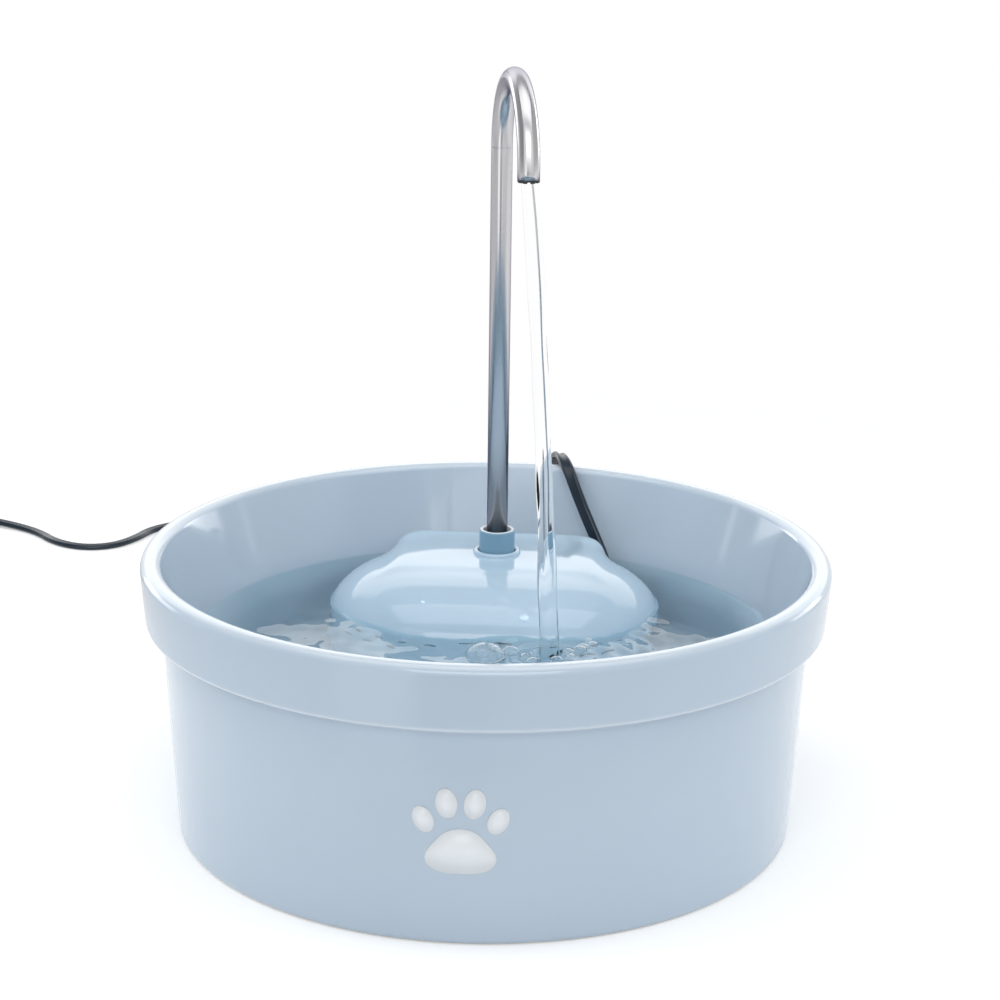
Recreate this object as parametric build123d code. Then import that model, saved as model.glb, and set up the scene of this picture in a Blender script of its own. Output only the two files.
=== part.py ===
"""Pet water fountain: a glazed bowl, a pump under a domed cover, a gooseneck spout and a USB lead.

Frame: +Z up, origin on the floor at the middle of the bowl's foot, -Y is the drinking side.
Every length is in millimetres, every angle in degrees. Each sub-part becomes parts/NODE.step.
"""
from build123d import *
import math
import os

os.makedirs("parts", exist_ok=True)

# ---------------------------------------------------------------- driving dimensions
# Bowl
rim_radius = 125.2
bowl_height = 102.3
band_height = 23.2
band_taper = 1.9            # the band narrows by this much down to its lower edge
band_step = 5.5             # the body stands in this far under the band
body_taper = 4.8            # the body narrows by this much down to the foot
rim_thickness = 7.0
rim_round = 3.3
band_round = 2.2
foot_round = 2.4
foot_ring_width = 12.0
foot_recess = 1.8
bowl_floor_thickness = 7.2
waist_drop = 42.3           # from the rim down to where the flare of the inner wall ends
waist_wall = 12.8
waist_curve = 100.0
foot_wall = 10.4
floor_curve = 8.0

# Pump cover
dome_half_straight = 17.0   # half the distance between the centres of the two round lobes
lobe_radius = 46.0
cover_height = 75.0         # from the bowl's floor to the top of the dome
crown_height = 17.7         # the domed part above the upright skirt
crown_fullness = 3.2        # exponents of the crown's rounded profile
shoulder_fullness = 1.6
cover_wall = 2.0
cover_gap = 1.8             # between the lobes and the curve at the edge of the bowl's floor
block_half_width = 41.0
block_inset = 3.0           # the block stops this far short of the lobes' rearmost line
block_proud = 0.4
block_corner = 12.0
block_edge_round = 5.0
lip_width = 1.6
lip_height = 2.0
lip_round = 0.5
collar_gap = 0.5            # between the collar and the hole in the cover
inlet_length = 4.2
inlet_height = 2.4
inlet_angles = (-140.0, -127.0, -114.0, -101.0)
inlet_row_heights = (44.0, 51.0)
cord_slot_width = 7.5
cord_slot_height = 48.0
cord_slot_angle = 53.8
vent_width = 20.0
vent_height = 2.2
vent_drop = 20.0            # from the dome's top to the vent in its front
vent_round = 0.9
cord_slot_round = 3.0

# Filter
filter_height = 40.0
filter_front_gap = 7.0      # from the inside of the cover's front wall
filter_corner_gap = 0.6     # from the holder's front corners to the inside of the cover
filter_pump_gap = 5.9       # from the holder to the grip of the flow dial
filter_lift = 3.0           # above the bowl's floor
holder_wall = 1.2
holder_window_count = 5
holder_window_base = 4.8    # solid strip under the holder's windows
holder_window_head = 3.6    # solid strip over them
carbon_depth = 6.0
carbon_round = 2.0
wing_bite = 0.15            # the holder's wings press this far into the cover's walls

# Pump
pump_width = 32.0
pump_tall = 36.0
pump_stand = 4.0            # the suction cups hold the pump this far above the bowl's floor
outlet_setback = 31.3       # from the back of the cover's block to the outlet's axis
chamber_front = 8.0         # the impeller chamber, measured forward from the outlet's axis
chamber_back = 4.0
chamber_radius = 12.0
motor_back = 22.0
well_radius = 6.3
well_wall = 1.0
well_back = 19.0
rotor_lift = 1.0            # the rotor's axis above the middle of the pump
case_wall = 2.0
case_round = 2.5
back_cap_thickness = 2.0
chamber_cover_thickness = 2.5
spigot_depth = 1.2          # the cover's spigot stands this far into the chamber
spigot_wall = 1.2
spigot_gap = 0.1
seal_groove = 0.8           # width and depth of the O-ring's groove round the spigot
seal_gap = 0.05
intake_radius = 7.2         # the hole in the chamber cover that the water comes in through
spider_wall = 1.0           # round the front bush
spider_arm_width = 1.4
spider_arm_count = 3
grille_depth = 7.2
grille_wall = 1.5
grille_slot_width = 1.8
grille_slot_pitch = 3.6
grille_slot_count = 7
grille_slot_length = 14.0
grille_slot_drop = 2.0      # from the inside of the grille's roof down to its slots
shaft_radius = 1.0
bush_radius = 2.4
bush_length = 2.0
bush_fit = 0.01             # clearance of the bushes round the shaft and in their seats
bush_bottom = 0.4           # the front bush's bore stops this far from its outer face
shaft_end_gap = 0.1
running_gap = 0.05          # radial play of everything that turns
face_gap = 0.3              # axial play between bodies that move
magnet_radius = 5.7
magnet_length = 11.5
magnet_setback = 1.0        # behind the back of the impeller chamber
magnet_sleeve_wall = 1.0    # the wheel's sleeve, on which the magnet sits
wheel_radius = 10.4
wheel_back_gap = 1.0
wheel_thickness = 1.2
blade_count = 6
blade_height = 7.0
blade_thickness = 1.2
hub_radius = 3.0
hub_front = 4.7             # how far the hub stands in front of the wheel's back face
core_thickness = 3.5
core_depth = 9.4
core_gap = 0.2              # between the core's legs and the rotor's well
core_lift = 3.0             # the core's yoke above the floor of the motor bay
winding_gap = 0.4           # between the winding and the bay's front wall
bobbin_wall = 0.8
bobbin_length = 14.0
winding_build = 0.8
winding_fit = 0.02
board_width = 24.0
board_thickness = 1.6
board_length = 12.0
board_drop = 1.5            # from the roof of the motor bay to the board
board_gap = 1.0             # from the bay's front wall to the board
chip_height = 1.2
chip_inset = 4.0            # from the board's front edge to the chips
chips = ((-6.0, 4.0), (1.0, 3.0), (6.0, 2.4))   # place across the board and side of each chip
cup_radius = 6.0
cup_edge = 0.9              # thickness of the cup's rim, seen from the side
cup_hollow = 1.2
cup_height = 2.4            # of the cup itself, under its neck
cup_neck_radius = 2.5
cup_spread = 10.0
cup_inset = 3.5             # from the ends of the housing to the cups' axes
dial_radius = 5.5
dial_thickness = 2.0
dial_stem_radius = 1.5
dial_clearance = 2.0        # from the grille's inner floor to the dial
dial_keeper_radius = 5.0
dial_keeper_thickness = 1.2
dial_grip_width = 2.0
dial_grip_height = 1.6
dial_grip_inset = 1.0
gland_radius = 3.4
gland_fit = 0.02
gland_length = 8.0
gland_nose_wall = 0.6       # round the lead at the gland's thin end
gland_setback = 16.0        # behind the outlet's axis
gland_height = 9.0          # above the pump's underside

# Outlet, collar and spout
nozzle_radius = 4.0
nozzle_bore = 2.8
nozzle_length = 13.0
nozzle_round = 0.5
nozzle_seat_gap = 0.8       # from the impeller chamber's wall to the nozzle's lower end
nozzle_flange_radius = 6.0
nozzle_flange_thickness = 1.5
collar_radius = 6.8
collar_ledge_bore = 3.2
collar_reach = 10.0         # the collar stands this far above the dome
collar_round = 0.5
mouth_radius = 5.4
mouth_depth = 2.6
tube_radius = 4.0
tube_wall = 0.6
tube_insertion = 14.0
spout_rise = 157.4          # from the dome's top to where the bend starts
bend_radius = 28.4
bend_turn = 180.0
spout_azimuth = 13.4        # the spout's plane, turned from -Y towards +X
outlet_straight = 3.0
insert_lip = 1.2
insert_depth = 2.6
insert_bore = 2.6
insert_fit = 0.025
insert_round = 0.4

# Lead and plug
cord_diameter = 4.0
cord_total_length = 1800.0
arc_share = 0.45            # share of the shorter run that an arc at a corner takes
coil_middle_radius = 28.6
coil_bundle_width = 15.0
coil_bundle_height = 10.0
coil_bundle_round = 3.0
coil_centre = (-320.0, 311.0)
tie_width = 7.0
tie_thickness = 0.9
overmould_length = 24.0
overmould_width = 15.6
overmould_height = 8.2
overmould_round = 2.4
usb_shell_length = 18.75
usb_shell_width = 12.0
usb_shell_height = 4.5
usb_shell_wall = 0.35
usb_window = 2.4            # the two square windows in the shell's top
usb_window_spread = 2.4     # their distance from the plug's middle line
usb_window_inset = 3.1      # from the shell's middle towards its open end
usb_tongue_height = 1.84
usb_tongue_gap = 0.05

# ---------------------------------------------------------------- derived places
body_height = bowl_height - band_height
body_top_radius = rim_radius - band_taper - band_step
base_radius = body_top_radius - body_taper
floor_z = foot_recess + bowl_floor_thickness
waist_z = bowl_height - waist_drop
inner_floor_radius = base_radius - foot_wall
flat_floor_radius = inner_floor_radius - floor_curve

cover_top = floor_z + cover_height
cover_y = math.sqrt((flat_floor_radius - cover_gap - lobe_radius) ** 2 - dome_half_straight ** 2)
block_back = cover_y + lobe_radius - block_inset
outlet_y = block_back - outlet_setback

pump_base = floor_z + pump_stand
pump_top = pump_base + pump_tall
rotor_z = pump_base + pump_tall / 2 + rotor_lift
nozzle_top = pump_top + nozzle_length
collar_bottom = pump_top + nozzle_flange_thickness + face_gap
collar_top = cover_top + collar_reach
tube_bottom = collar_top - tube_insertion
bend_z = cover_top + spout_rise
cord_floor = cord_diameter / 2
cut = 1.0                   # how far a cutting tool runs on past the face it leaves by
core_front = chamber_back + case_wall + bobbin_wall + winding_build + winding_gap
pump_half = pump_width / 2
motor_low = pump_base + case_wall
motor_high = pump_top - case_wall
cover_plate_front = -chamber_front - chamber_cover_thickness
grille_front = cover_plate_front - grille_depth
dial_z = pump_base + grille_wall + dial_radius + dial_clearance
gland_z = pump_base + gland_height
sleeve_radius = shaft_radius + magnet_sleeve_wall
magnet_front = chamber_back + magnet_setback
magnet_back = magnet_front + magnet_length
wheel_back = chamber_back - wheel_back_gap
spout_turn = math.radians(spout_azimuth)
spout_direction = Vector(math.sin(spout_turn), -math.cos(spout_turn))
usb_inside = usb_shell_width - 2 * usb_shell_wall
filter_front = cover_y - lobe_radius + cover_wall + filter_front_gap
dial_front = outlet_y + grille_front - face_gap - dial_thickness - dial_grip_height
filter_back = dial_front - filter_pump_gap - holder_wall
holder_corner_rise = cover_y - filter_front + holder_wall
holder_corner_reach = math.sqrt((lobe_radius - cover_wall) ** 2 - holder_corner_rise ** 2)
filter_width = 2 * (dome_half_straight + holder_corner_reach - holder_wall - filter_corner_gap)
filter_low = floor_z + filter_lift
filter_high = filter_low + filter_height


def write(node, shape):
    """Save one sub-part as its own STEP file."""
    export_step(shape, "parts/" + node + ".step")


def body_radius(z):
    """Outer radius of the bowl's body at height z."""
    return base_radius + body_taper * z / body_height


def turned(corners, arc=360.0):
    """Solid turned about Z from (radius, height, fillet) corners that start and end on the axis."""
    points = [(r, 0, z) for r, z, _ in corners]
    fillets = [fillet_radius for _, _, fillet_radius in corners[1:-1]]
    outline = FilletPolyline(*points, radius=fillets)
    closing = Line(points[-1], points[0])
    return revolve(make_face(outline.edges() + closing.edges()), axis=Axis.Z, revolution_arc=arc)


def ring(outer, inner, low, high):
    """Plain ring about Z."""
    height = high - low
    return Pos(0, 0, low + height / 2) * (Cylinder(outer, height) - Cylinder(inner, height))


def disc(radius, low, high):
    """Plain disc about Z."""
    return Pos(0, 0, (low + high) / 2) * Cylinder(radius, high - low)


def block(x, y, z):
    """Box between two corners, given as (low, high) along each axis."""
    size = Box(x[1] - x[0], y[1] - y[0], z[1] - z[0])
    return Pos((x[0] + x[1]) / 2, (y[0] + y[1]) / 2, (z[0] + z[1]) / 2) * size


def lengthwise(radius, front, back, z=rotor_z):
    """Cylinder along the pump's length, between two distances behind the outlet's axis."""
    middle = outlet_y + (front + back) / 2
    return Pos(0, middle, z) * Rot(90, 0, 0) * Cylinder(radius, back - front)


# ---------------------------------------------------------------- bowl
def make_bowl():
    flare_top = rim_radius - rim_thickness
    waist_radius = body_radius(waist_z) - waist_wall
    outline = [
        (0, foot_recess, 0),
        (base_radius - foot_ring_width, foot_recess, foot_recess / 2),
        (base_radius - foot_ring_width + foot_recess, 0, 0),
        (base_radius, 0, foot_round),
        (body_top_radius, body_height, foot_round),
        (rim_radius - band_taper, body_height, band_round),
        (rim_radius, bowl_height, rim_round),
        (flare_top, bowl_height, rim_round),
        (waist_radius, waist_z, waist_curve),
        (inner_floor_radius, floor_z, floor_curve),
        (0, floor_z, 0),
    ]
    return turned(outline)


# ---------------------------------------------------------------- pump cover
def crown_face(radius, top, skirt_top, low):
    """Half section of the dome: upright skirt under a full, rounded crown."""
    crown = []
    steps = 8
    for step in range(steps + 1):
        share = math.sin(math.pi / 2 * step / steps)
        drop = (1 - share ** crown_fullness) ** (1 / shoulder_fullness)
        crown.append((radius * share, 0, skirt_top + (top - skirt_top) * drop))
    curve = Spline(*crown, tangents=((1, 0, 0), (0, 0, -1)))
    sides = Polyline((radius, 0, skirt_top), (radius, 0, low), (0, 0, low), (0, 0, top))
    return make_face(curve.edges() + sides.edges())


def dome(radius, top, skirt_top, low):
    """The slot-shaped dome: two turned lobes with the same section drawn straight between them."""
    half = crown_face(radius, top, skirt_top, low)
    lobe = revolve(half, axis=Axis.Z, revolution_arc=180)
    right = Pos(dome_half_straight, cover_y, 0) * Rot(0, 0, -90) * lobe
    left = Pos(-dome_half_straight, cover_y, 0) * Rot(0, 0, 90) * lobe
    front_section = Pos(-dome_half_straight, cover_y, 0) * Rot(0, 0, -90) * half
    back_section = Pos(-dome_half_straight, cover_y, 0) * Rot(0, 0, 90) * half
    span = (2 * dome_half_straight, 0, 0)
    front = extrude(front_section, amount=2 * dome_half_straight, dir=span)
    back = extrude(back_section, amount=2 * dome_half_straight, dir=span)
    return front + back + right + left


def rear_block(half_width, back, top, low, corner, edge):
    """The flat-topped block behind the dome, narrower where it runs into the dome's crown."""
    neck = half_width - dome_half_straight
    front = cover_y + edge / 2
    plan = FilletPolyline(
        (-neck, front), (-half_width, front + dome_half_straight), (-half_width, back),
        (half_width, back), (half_width, front + dome_half_straight), (neck, front),
        radius=[corner, corner, corner, corner],
    )
    closing = Line((neck, front), (-neck, front))
    prism = extrude(make_face(plan.edges() + closing.edges()), amount=top - low)
    return Pos(0, 0, low) * fillet(prism.edges().group_by(Axis.Z)[-1], edge)


def cover_wall_point(angle, radius):
    """Point on a lobe's upright wall, angle in degrees from +X, left lobe past 90 degrees."""
    turn = math.radians(angle)
    side = math.copysign(dome_half_straight, math.cos(turn))
    return (side + radius * math.cos(turn), cover_y + radius * math.sin(turn))


def make_pump_cover():
    skirt_top = cover_top - crown_height
    outside = dome(lobe_radius, cover_top, skirt_top, floor_z)
    outside += rear_block(block_half_width, block_back, cover_top + block_proud, floor_z,
                          block_corner, block_edge_round)
    lip_radius = collar_radius + collar_gap + lip_width
    lip = ring(lip_radius, collar_radius, cover_top - cover_wall, cover_top + lip_height)
    lip = fillet(lip.edges().group_by(Axis.Z)[-1], min(lip_round, lip_width / 3))
    outside += Pos(0, outlet_y, 0) * lip
    inside = dome(lobe_radius - cover_wall, cover_top - cover_wall, skirt_top, floor_z)
    inside += rear_block(block_half_width - cover_wall, block_back - cover_wall,
                         cover_top + block_proud - cover_wall, floor_z,
                         block_corner - cover_wall, block_edge_round - cover_wall)
    shell = outside - inside
    hole = disc(collar_radius + collar_gap, cover_top - 2 * cover_wall, cover_top + lip_height + cut)
    shell -= Pos(0, outlet_y, 0) * hole
    through = 2 * cover_wall + cut
    for row, height in enumerate(inlet_row_heights):
        for count, angle in enumerate(inlet_angles):
            if (row, count) == (0, len(inlet_angles) - 1):
                continue
            turn = angle + row * (inlet_angles[1] - inlet_angles[0]) / 2
            for mirrored in (turn, 180 - turn):
                x, y = cover_wall_point(mirrored, lobe_radius)
                oval = extrude(Ellipse(inlet_length / 2, inlet_height / 2), through, both=True)
                shell -= Pos(x, y, floor_z + height) * Rot(0, 0, mirrored + 90) * Rot(90, 0, 0) * oval
    x, y = cover_wall_point(cord_slot_angle, lobe_radius)
    below = cord_slot_round + cut
    slot = Box(2 * through, cord_slot_width, cord_slot_height + below)
    slot = fillet(slot.edges().filter_by(Axis.X), min(cord_slot_round, cord_slot_width / 2.5))
    slot_middle = floor_z + (cord_slot_height - below) / 2
    shell -= Pos(x, y, slot_middle) * Rot(0, 0, cord_slot_angle) * slot
    vent = Box(vent_width, 2 * through, vent_height)
    vent = fillet(vent.edges().filter_by(Axis.Y), min(vent_round, vent_height / 2.5))
    shell -= Pos(0, cover_y - lobe_radius, cover_top - vent_drop) * vent
    return shell


# ---------------------------------------------------------------- filter
def make_filter_holder():
    wide = filter_width / 2 + holder_wall
    tray = block((-wide, wide), (filter_front - holder_wall, filter_back + holder_wall),
                 (filter_low - holder_wall, filter_high))
    tray -= block((-filter_width / 2, filter_width / 2), (filter_front, filter_back),
                  (filter_low, filter_high + cut))
    window = (filter_low + holder_window_base, filter_high - holder_window_head)
    pitch = filter_width / holder_window_count
    for count in range(holder_window_count):
        x = -filter_width / 2 + count * pitch
        tray -= block((x + holder_wall, x + pitch - holder_wall),
                      (filter_front - holder_wall - cut, filter_back + holder_wall + cut), window)
    wing_y = filter_back + holder_wall
    rise = cover_y - wing_y
    reach = dome_half_straight + math.sqrt((lobe_radius - cover_wall) ** 2 - rise ** 2) + wing_bite
    for low_x, high_x in ((-reach, -wide), (wide, reach)):
        tray += block((low_x, high_x), (wing_y - holder_wall, wing_y), (filter_low, filter_high))
    return tray


def make_filter_foam():
    return block((-filter_width / 2, filter_width / 2), (filter_front, filter_back - carbon_depth),
                 (filter_low, filter_high))


def make_carbon_pack():
    pack = block((-filter_width / 2, filter_width / 2), (filter_back - carbon_depth, filter_back),
                 (filter_low, filter_high))
    return fillet(pack.edges().filter_by(Axis.X), min(carbon_round, carbon_depth / 3))


# ---------------------------------------------------------------- pump
def along(front, back):
    """Span along Y between two distances behind the outlet's axis."""
    return (outlet_y + front, outlet_y + back)


def make_pump_housing():
    case = block((-pump_half, pump_half), along(-chamber_front, motor_back), (pump_base, pump_top))
    case = fillet(case.edges().filter_by(Axis.Y), case_round)
    case -= lengthwise(chamber_radius, -chamber_front - cut, chamber_back)
    bay = block((case_wall - pump_half, pump_half - case_wall),
                along(chamber_back + case_wall, motor_back), (motor_low, motor_high))
    case -= bay
    case += lengthwise(well_radius + well_wall, chamber_back, well_back + well_wall)
    case -= lengthwise(well_radius, chamber_back - cut, well_back)
    outlet = disc(nozzle_radius + running_gap, rotor_z, pump_top + cut)
    case -= Pos(0, outlet_y, 0) * outlet
    gland_hole = Cylinder(gland_radius, 2 * (case_wall + cut))
    case -= Pos(pump_half, outlet_y + gland_setback, gland_z) * Rot(0, 90, 0) * gland_hole
    return case


def make_pump_back_cap():
    cap = block((-pump_half, pump_half), along(motor_back, motor_back + back_cap_thickness),
                (pump_base, pump_top))
    return fillet(cap.edges().filter_by(Axis.Y), case_round)


def make_stator_core():
    yoke_low = motor_low + core_lift
    leg_in = well_radius + well_wall + core_gap
    leg_out = leg_in + core_thickness
    span = along(core_front, core_front + core_depth)
    core = block((-leg_out, leg_out), span, (yoke_low, yoke_low + core_thickness))
    for low_x, high_x in ((-leg_out, -leg_in), (leg_in, leg_out)):
        core += block((low_x, high_x), span, (yoke_low, rotor_z + well_radius))
    return core


def bobbin_sleeve(inner, outer, length):
    """Square sleeve round the core's yoke, with its wall between two distances from the yoke."""
    yoke_low = motor_low + core_lift
    yoke_high = yoke_low + core_thickness
    core_back = core_front + core_depth
    around = block((-length / 2, length / 2), along(core_front - outer, core_back + outer),
                   (yoke_low - outer, yoke_high + outer))
    return around - block((-length, length), along(core_front - inner, core_back + inner),
                          (yoke_low - inner, yoke_high + inner))


def make_coil_bobbin():
    sleeve = bobbin_sleeve(running_gap, bobbin_wall, bobbin_length)
    edge = bobbin_length / 2 - bobbin_wall / 2
    rim = bobbin_sleeve(bobbin_wall, bobbin_wall + winding_build, bobbin_wall)
    return sleeve + Pos(edge, 0, 0) * rim + Pos(-edge, 0, 0) * rim


def make_coil_winding():
    between_rims = bobbin_length - 2 * bobbin_wall - 2 * winding_fit
    winding = bobbin_sleeve(bobbin_wall + winding_fit, bobbin_wall + winding_build, between_rims)
    return fillet(winding.edges().filter_by(Axis.X).group_by(Axis.Z)[-1], winding_build / 2)


def make_driver_board():
    front = chamber_back + case_wall + board_gap
    top = motor_high - board_drop
    board = block((-board_width / 2, board_width / 2), along(front, front + board_length),
                  (top - board_thickness, top))
    for x, side in chips:
        board += block((x - side / 2, x + side / 2), along(front + chip_inset, front + chip_inset + side),
                       (top, top + chip_height))
    return board


def make_impeller_shaft():
    front = cover_plate_front + bush_bottom + shaft_end_gap
    return lengthwise(shaft_radius, front, well_back - shaft_end_gap)


def make_shaft_bushes():
    front = lengthwise(bush_radius - bush_fit, cover_plate_front, cover_plate_front + bush_length)
    rear = lengthwise(bush_radius, well_back - bush_length - bush_fit, well_back - bush_fit)
    bore = lengthwise(shaft_radius + bush_fit, cover_plate_front + bush_bottom, well_back)
    front -= bore
    rear -= bore
    return Compound(children=[Solid(front.solid().wrapped), Solid(rear.solid().wrapped)])


def make_chamber_cover():
    plate = block((-pump_half, pump_half), along(cover_plate_front, -chamber_front),
                  (pump_base, pump_top))
    plate = fillet(plate.edges().filter_by(Axis.Y), case_round)
    back = -chamber_front + spigot_depth
    plate += lengthwise(chamber_radius - spigot_gap, -chamber_front, back)
    plate -= lengthwise(chamber_radius - spigot_wall, -chamber_front, back + cut)
    groove = lengthwise(chamber_radius, -chamber_front, -chamber_front + seal_groove)
    plate -= groove - lengthwise(chamber_radius - seal_groove, -chamber_front - cut, back + cut)
    plate -= lengthwise(intake_radius, cover_plate_front - cut, -chamber_front + cut)
    spider_back = cover_plate_front + bush_length
    spider = lengthwise(bush_radius + spider_wall, cover_plate_front, spider_back)
    arm = block((bush_radius + spider_wall / 2, intake_radius + spider_wall / 2),
                (-bush_length / 2, bush_length / 2), (-spider_arm_width / 2, spider_arm_width / 2))
    for count in range(spider_arm_count):
        turn = 30 + count * 360 / spider_arm_count
        spider += Pos(0, outlet_y + cover_plate_front + bush_length / 2, rotor_z) * Rot(0, turn, 0) * arm
    plate += spider
    plate -= lengthwise(bush_radius, cover_plate_front - cut, spider_back + cut)
    return plate


def make_chamber_seal():
    seal = Torus(chamber_radius - seal_groove / 2 - seal_gap, seal_groove / 2 - seal_gap)
    return Pos(0, outlet_y - chamber_front + seal_groove / 2, rotor_z) * Rot(90, 0, 0) * seal


def make_intake_grille():
    shell = block((-pump_half, pump_half), along(grille_front, cover_plate_front), (pump_base, pump_top))
    shell = fillet(shell.edges().filter_by(Axis.Y), case_round)
    shell -= block((grille_wall - pump_half, pump_half - grille_wall),
                   along(grille_front + grille_wall, cover_plate_front + cut),
                   (pump_base + grille_wall, pump_top - grille_wall))
    slot_high = pump_top - grille_wall - grille_slot_drop
    through = (grille_front - cut, grille_front + grille_wall + cut)
    for slot in range(grille_slot_count):
        x = (slot - (grille_slot_count - 1) / 2) * grille_slot_pitch
        shell -= block((x - grille_slot_width / 2, x + grille_slot_width / 2), along(*through),
                       (slot_high - grille_slot_length, slot_high))
    shell -= lengthwise(dial_stem_radius + running_gap, *through, dial_z)
    return shell


def make_flow_dial():
    face = grille_front - face_gap
    keeper_front = grille_front + grille_wall + face_gap
    keeper_back = keeper_front + dial_keeper_thickness
    dial = lengthwise(dial_radius, face - dial_thickness, face, dial_z)
    dial += lengthwise(dial_stem_radius, face, keeper_back, dial_z)
    dial += lengthwise(dial_keeper_radius, keeper_front, keeper_back, dial_z)
    grip_front = face - dial_thickness - dial_grip_height
    grip_half_length = dial_radius - dial_grip_inset
    dial += block((-dial_grip_width / 2, dial_grip_width / 2), along(grip_front, face),
                  (dial_z - grip_half_length, dial_z + grip_half_length))
    return dial


def make_outlet_nozzle():
    nozzle = disc(nozzle_radius, rotor_z + chamber_radius + nozzle_seat_gap, nozzle_top)
    nozzle = fillet(nozzle.edges().group_by(Axis.Z)[-1], nozzle_round)
    nozzle += disc(nozzle_flange_radius, pump_top, pump_top + nozzle_flange_thickness)
    nozzle -= disc(nozzle_bore, pump_base, nozzle_top + cut)
    return Pos(0, outlet_y, 0) * nozzle


def make_suction_cups():
    cup = turned([
        (0, cup_hollow, 0), (cup_radius - cup_hollow, 0, 0), (cup_radius, 0, 0),
        (cup_radius - cup_edge, cup_edge, cup_edge / 3), (cup_neck_radius, cup_height, cup_edge / 2),
        (cup_neck_radius, pump_stand, 0), (0, pump_stand, 0),
    ])
    cups = []
    for x in (-cup_spread, cup_spread):
        for y in along(cup_inset - chamber_front, motor_back - cup_inset):
            cups.append(Pos(x, y, floor_z) * cup)
    return Compound(children=cups)


def make_cable_gland():
    plug = Cylinder(gland_radius - gland_fit, case_wall)
    nose_length = gland_length - case_wall
    nose = Cone(gland_radius, cord_diameter / 2 + gland_nose_wall, nose_length)
    gland = Pos(0, 0, -case_wall / 2) * plug + Pos(0, 0, nose_length / 2) * nose
    return Pos(pump_half, outlet_y + gland_setback, gland_z) * Rot(0, 90, 0) * gland


# ---------------------------------------------------------------- impeller
def make_rotor_magnet():
    magnet = lengthwise(magnet_radius, magnet_front, magnet_back)
    return magnet - lengthwise(sleeve_radius, magnet_front - cut, magnet_back + cut)


def make_impeller_wheel():
    wheel = lengthwise(wheel_radius, wheel_back - wheel_thickness, wheel_back)
    wheel += lengthwise(hub_radius, wheel_back - hub_front, magnet_front)
    wheel += lengthwise(sleeve_radius, wheel_back, magnet_back)
    blade_front = wheel_back - wheel_thickness - blade_height
    vane = block((sleeve_radius, wheel_radius), along(blade_front, wheel_back - wheel_thickness / 2),
                 (-blade_thickness / 2, blade_thickness / 2))
    for count in range(blade_count):
        wheel += Pos(0, 0, rotor_z) * Rot(0, count * 360 / blade_count, 0) * vane
    wheel -= lengthwise(shaft_radius + running_gap, blade_front - cut, magnet_back + cut)
    return wheel


# ---------------------------------------------------------------- collar and spout
def make_collar():
    collar = disc(collar_radius, collar_bottom, collar_top)
    collar = fillet(collar.edges().group_by(Axis.Z)[-1], collar_round)
    collar -= disc(nozzle_radius + running_gap, collar_bottom - cut, nozzle_top + face_gap)
    collar -= disc(collar_ledge_bore, collar_bottom, collar_top)
    collar -= disc(tube_radius + running_gap, tube_bottom - running_gap, collar_top)
    collar -= disc(mouth_radius, collar_top - mouth_depth, collar_top + cut)
    return Pos(0, outlet_y, 0) * collar


def spout_path():
    """Centre line of the spout: up, round the bend and a little way down."""
    foot = Vector(0, outlet_y, tube_bottom)
    top = Vector(0, outlet_y, bend_z)
    turn = math.radians(bend_turn)
    half = turn / 2
    middle = top + spout_direction * (bend_radius * (1 - math.cos(half)))
    middle += Vector(0, 0, bend_radius * math.sin(half))
    end = top + spout_direction * (bend_radius * (1 - math.cos(turn)))
    end += Vector(0, 0, bend_radius * math.sin(turn))
    down = spout_direction * math.sin(turn) + Vector(0, 0, math.cos(turn))
    tip = end + down * outlet_straight
    riser = Line(foot, top)
    bend = ThreePointArc(top, middle, end)
    mouth = Line(end, tip)
    return Wire(riser.edges() + bend.edges() + mouth.edges()), tip, down


def make_spout_tube():
    path, _, _ = spout_path()
    start = Plane(origin=(0, outlet_y, tube_bottom), z_dir=(0, 0, 1))
    outer = sweep(start * Circle(tube_radius), path=path)
    inner = sweep(start * Circle(tube_radius - tube_wall), path=path)
    return outer - inner


def make_outlet_insert():
    _, tip, down = spout_path()
    place = Plane(origin=tip, z_dir=down)
    flange = Pos(0, 0, insert_lip / 2) * Cylinder(tube_radius, insert_lip)
    flange = fillet(flange.edges().group_by(Axis.Z)[-1], min(insert_round, insert_lip / 3))
    flange += Pos(0, 0, -insert_depth / 2) * Cylinder(tube_radius - tube_wall - insert_fit, insert_depth)
    return place * (flange - Cylinder(insert_bore, 2 * (insert_depth + insert_lip)))


# ---------------------------------------------------------------- lead and plug
cord_route = [
    (pump_half + gland_length - case_wall, outlet_y + gland_setback, gland_z),
    (30.0, outlet_y + gland_setback, gland_z),
    (37.2, 73.4, 25.2), (42.4, 77.2, 32.0), (44.6, 83.0, 42.5), (44.8, 88.6, 56.0),
    (41.2, 93.6, 69.5), (36.0, 98.4, 82.0), (30.4, 104.2, 94.0), (25.6, 113.2, 105.6),
    (21.0, 128.4, 106.9), (18.4, 138.4, 95.6), (17.4, 141.6, 79.0), (16.4, 141.8, 55.0),
    (14.0, 143.0, 31.0), (9.6, 150.0, 11.0), (4.0, 168.0, cord_floor), (-7.0, 198.0, cord_floor),
    (-26.0, 238.0, cord_floor), (-56.0, 280.0, cord_floor), (-94.0, 318.0, cord_floor),
    (-136.0, 346.0, cord_floor), (-172.0, 356.0, cord_floor), (-193.0, 341.0, cord_floor),
    (-199.0, 320.0, cord_floor), (-208.0, 305.5, cord_floor), (-222.0, 301.5, cord_floor),
    (-237.0, 309.5, cord_floor), (-249.0, 325.5, cord_floor), (-267.0, 337.5, cord_floor),
    (-286.0, 342.0, 3.0), (-303.0, 340.2, 5.0),
]
cord_tail_route = [
    (-354.4, 302.0, 5.4), (-356.0, 288.0, 4.8), (-354.6, 274.0, overmould_height / 2),
    (-350.0, 258.0, overmould_height / 2),
]


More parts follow.
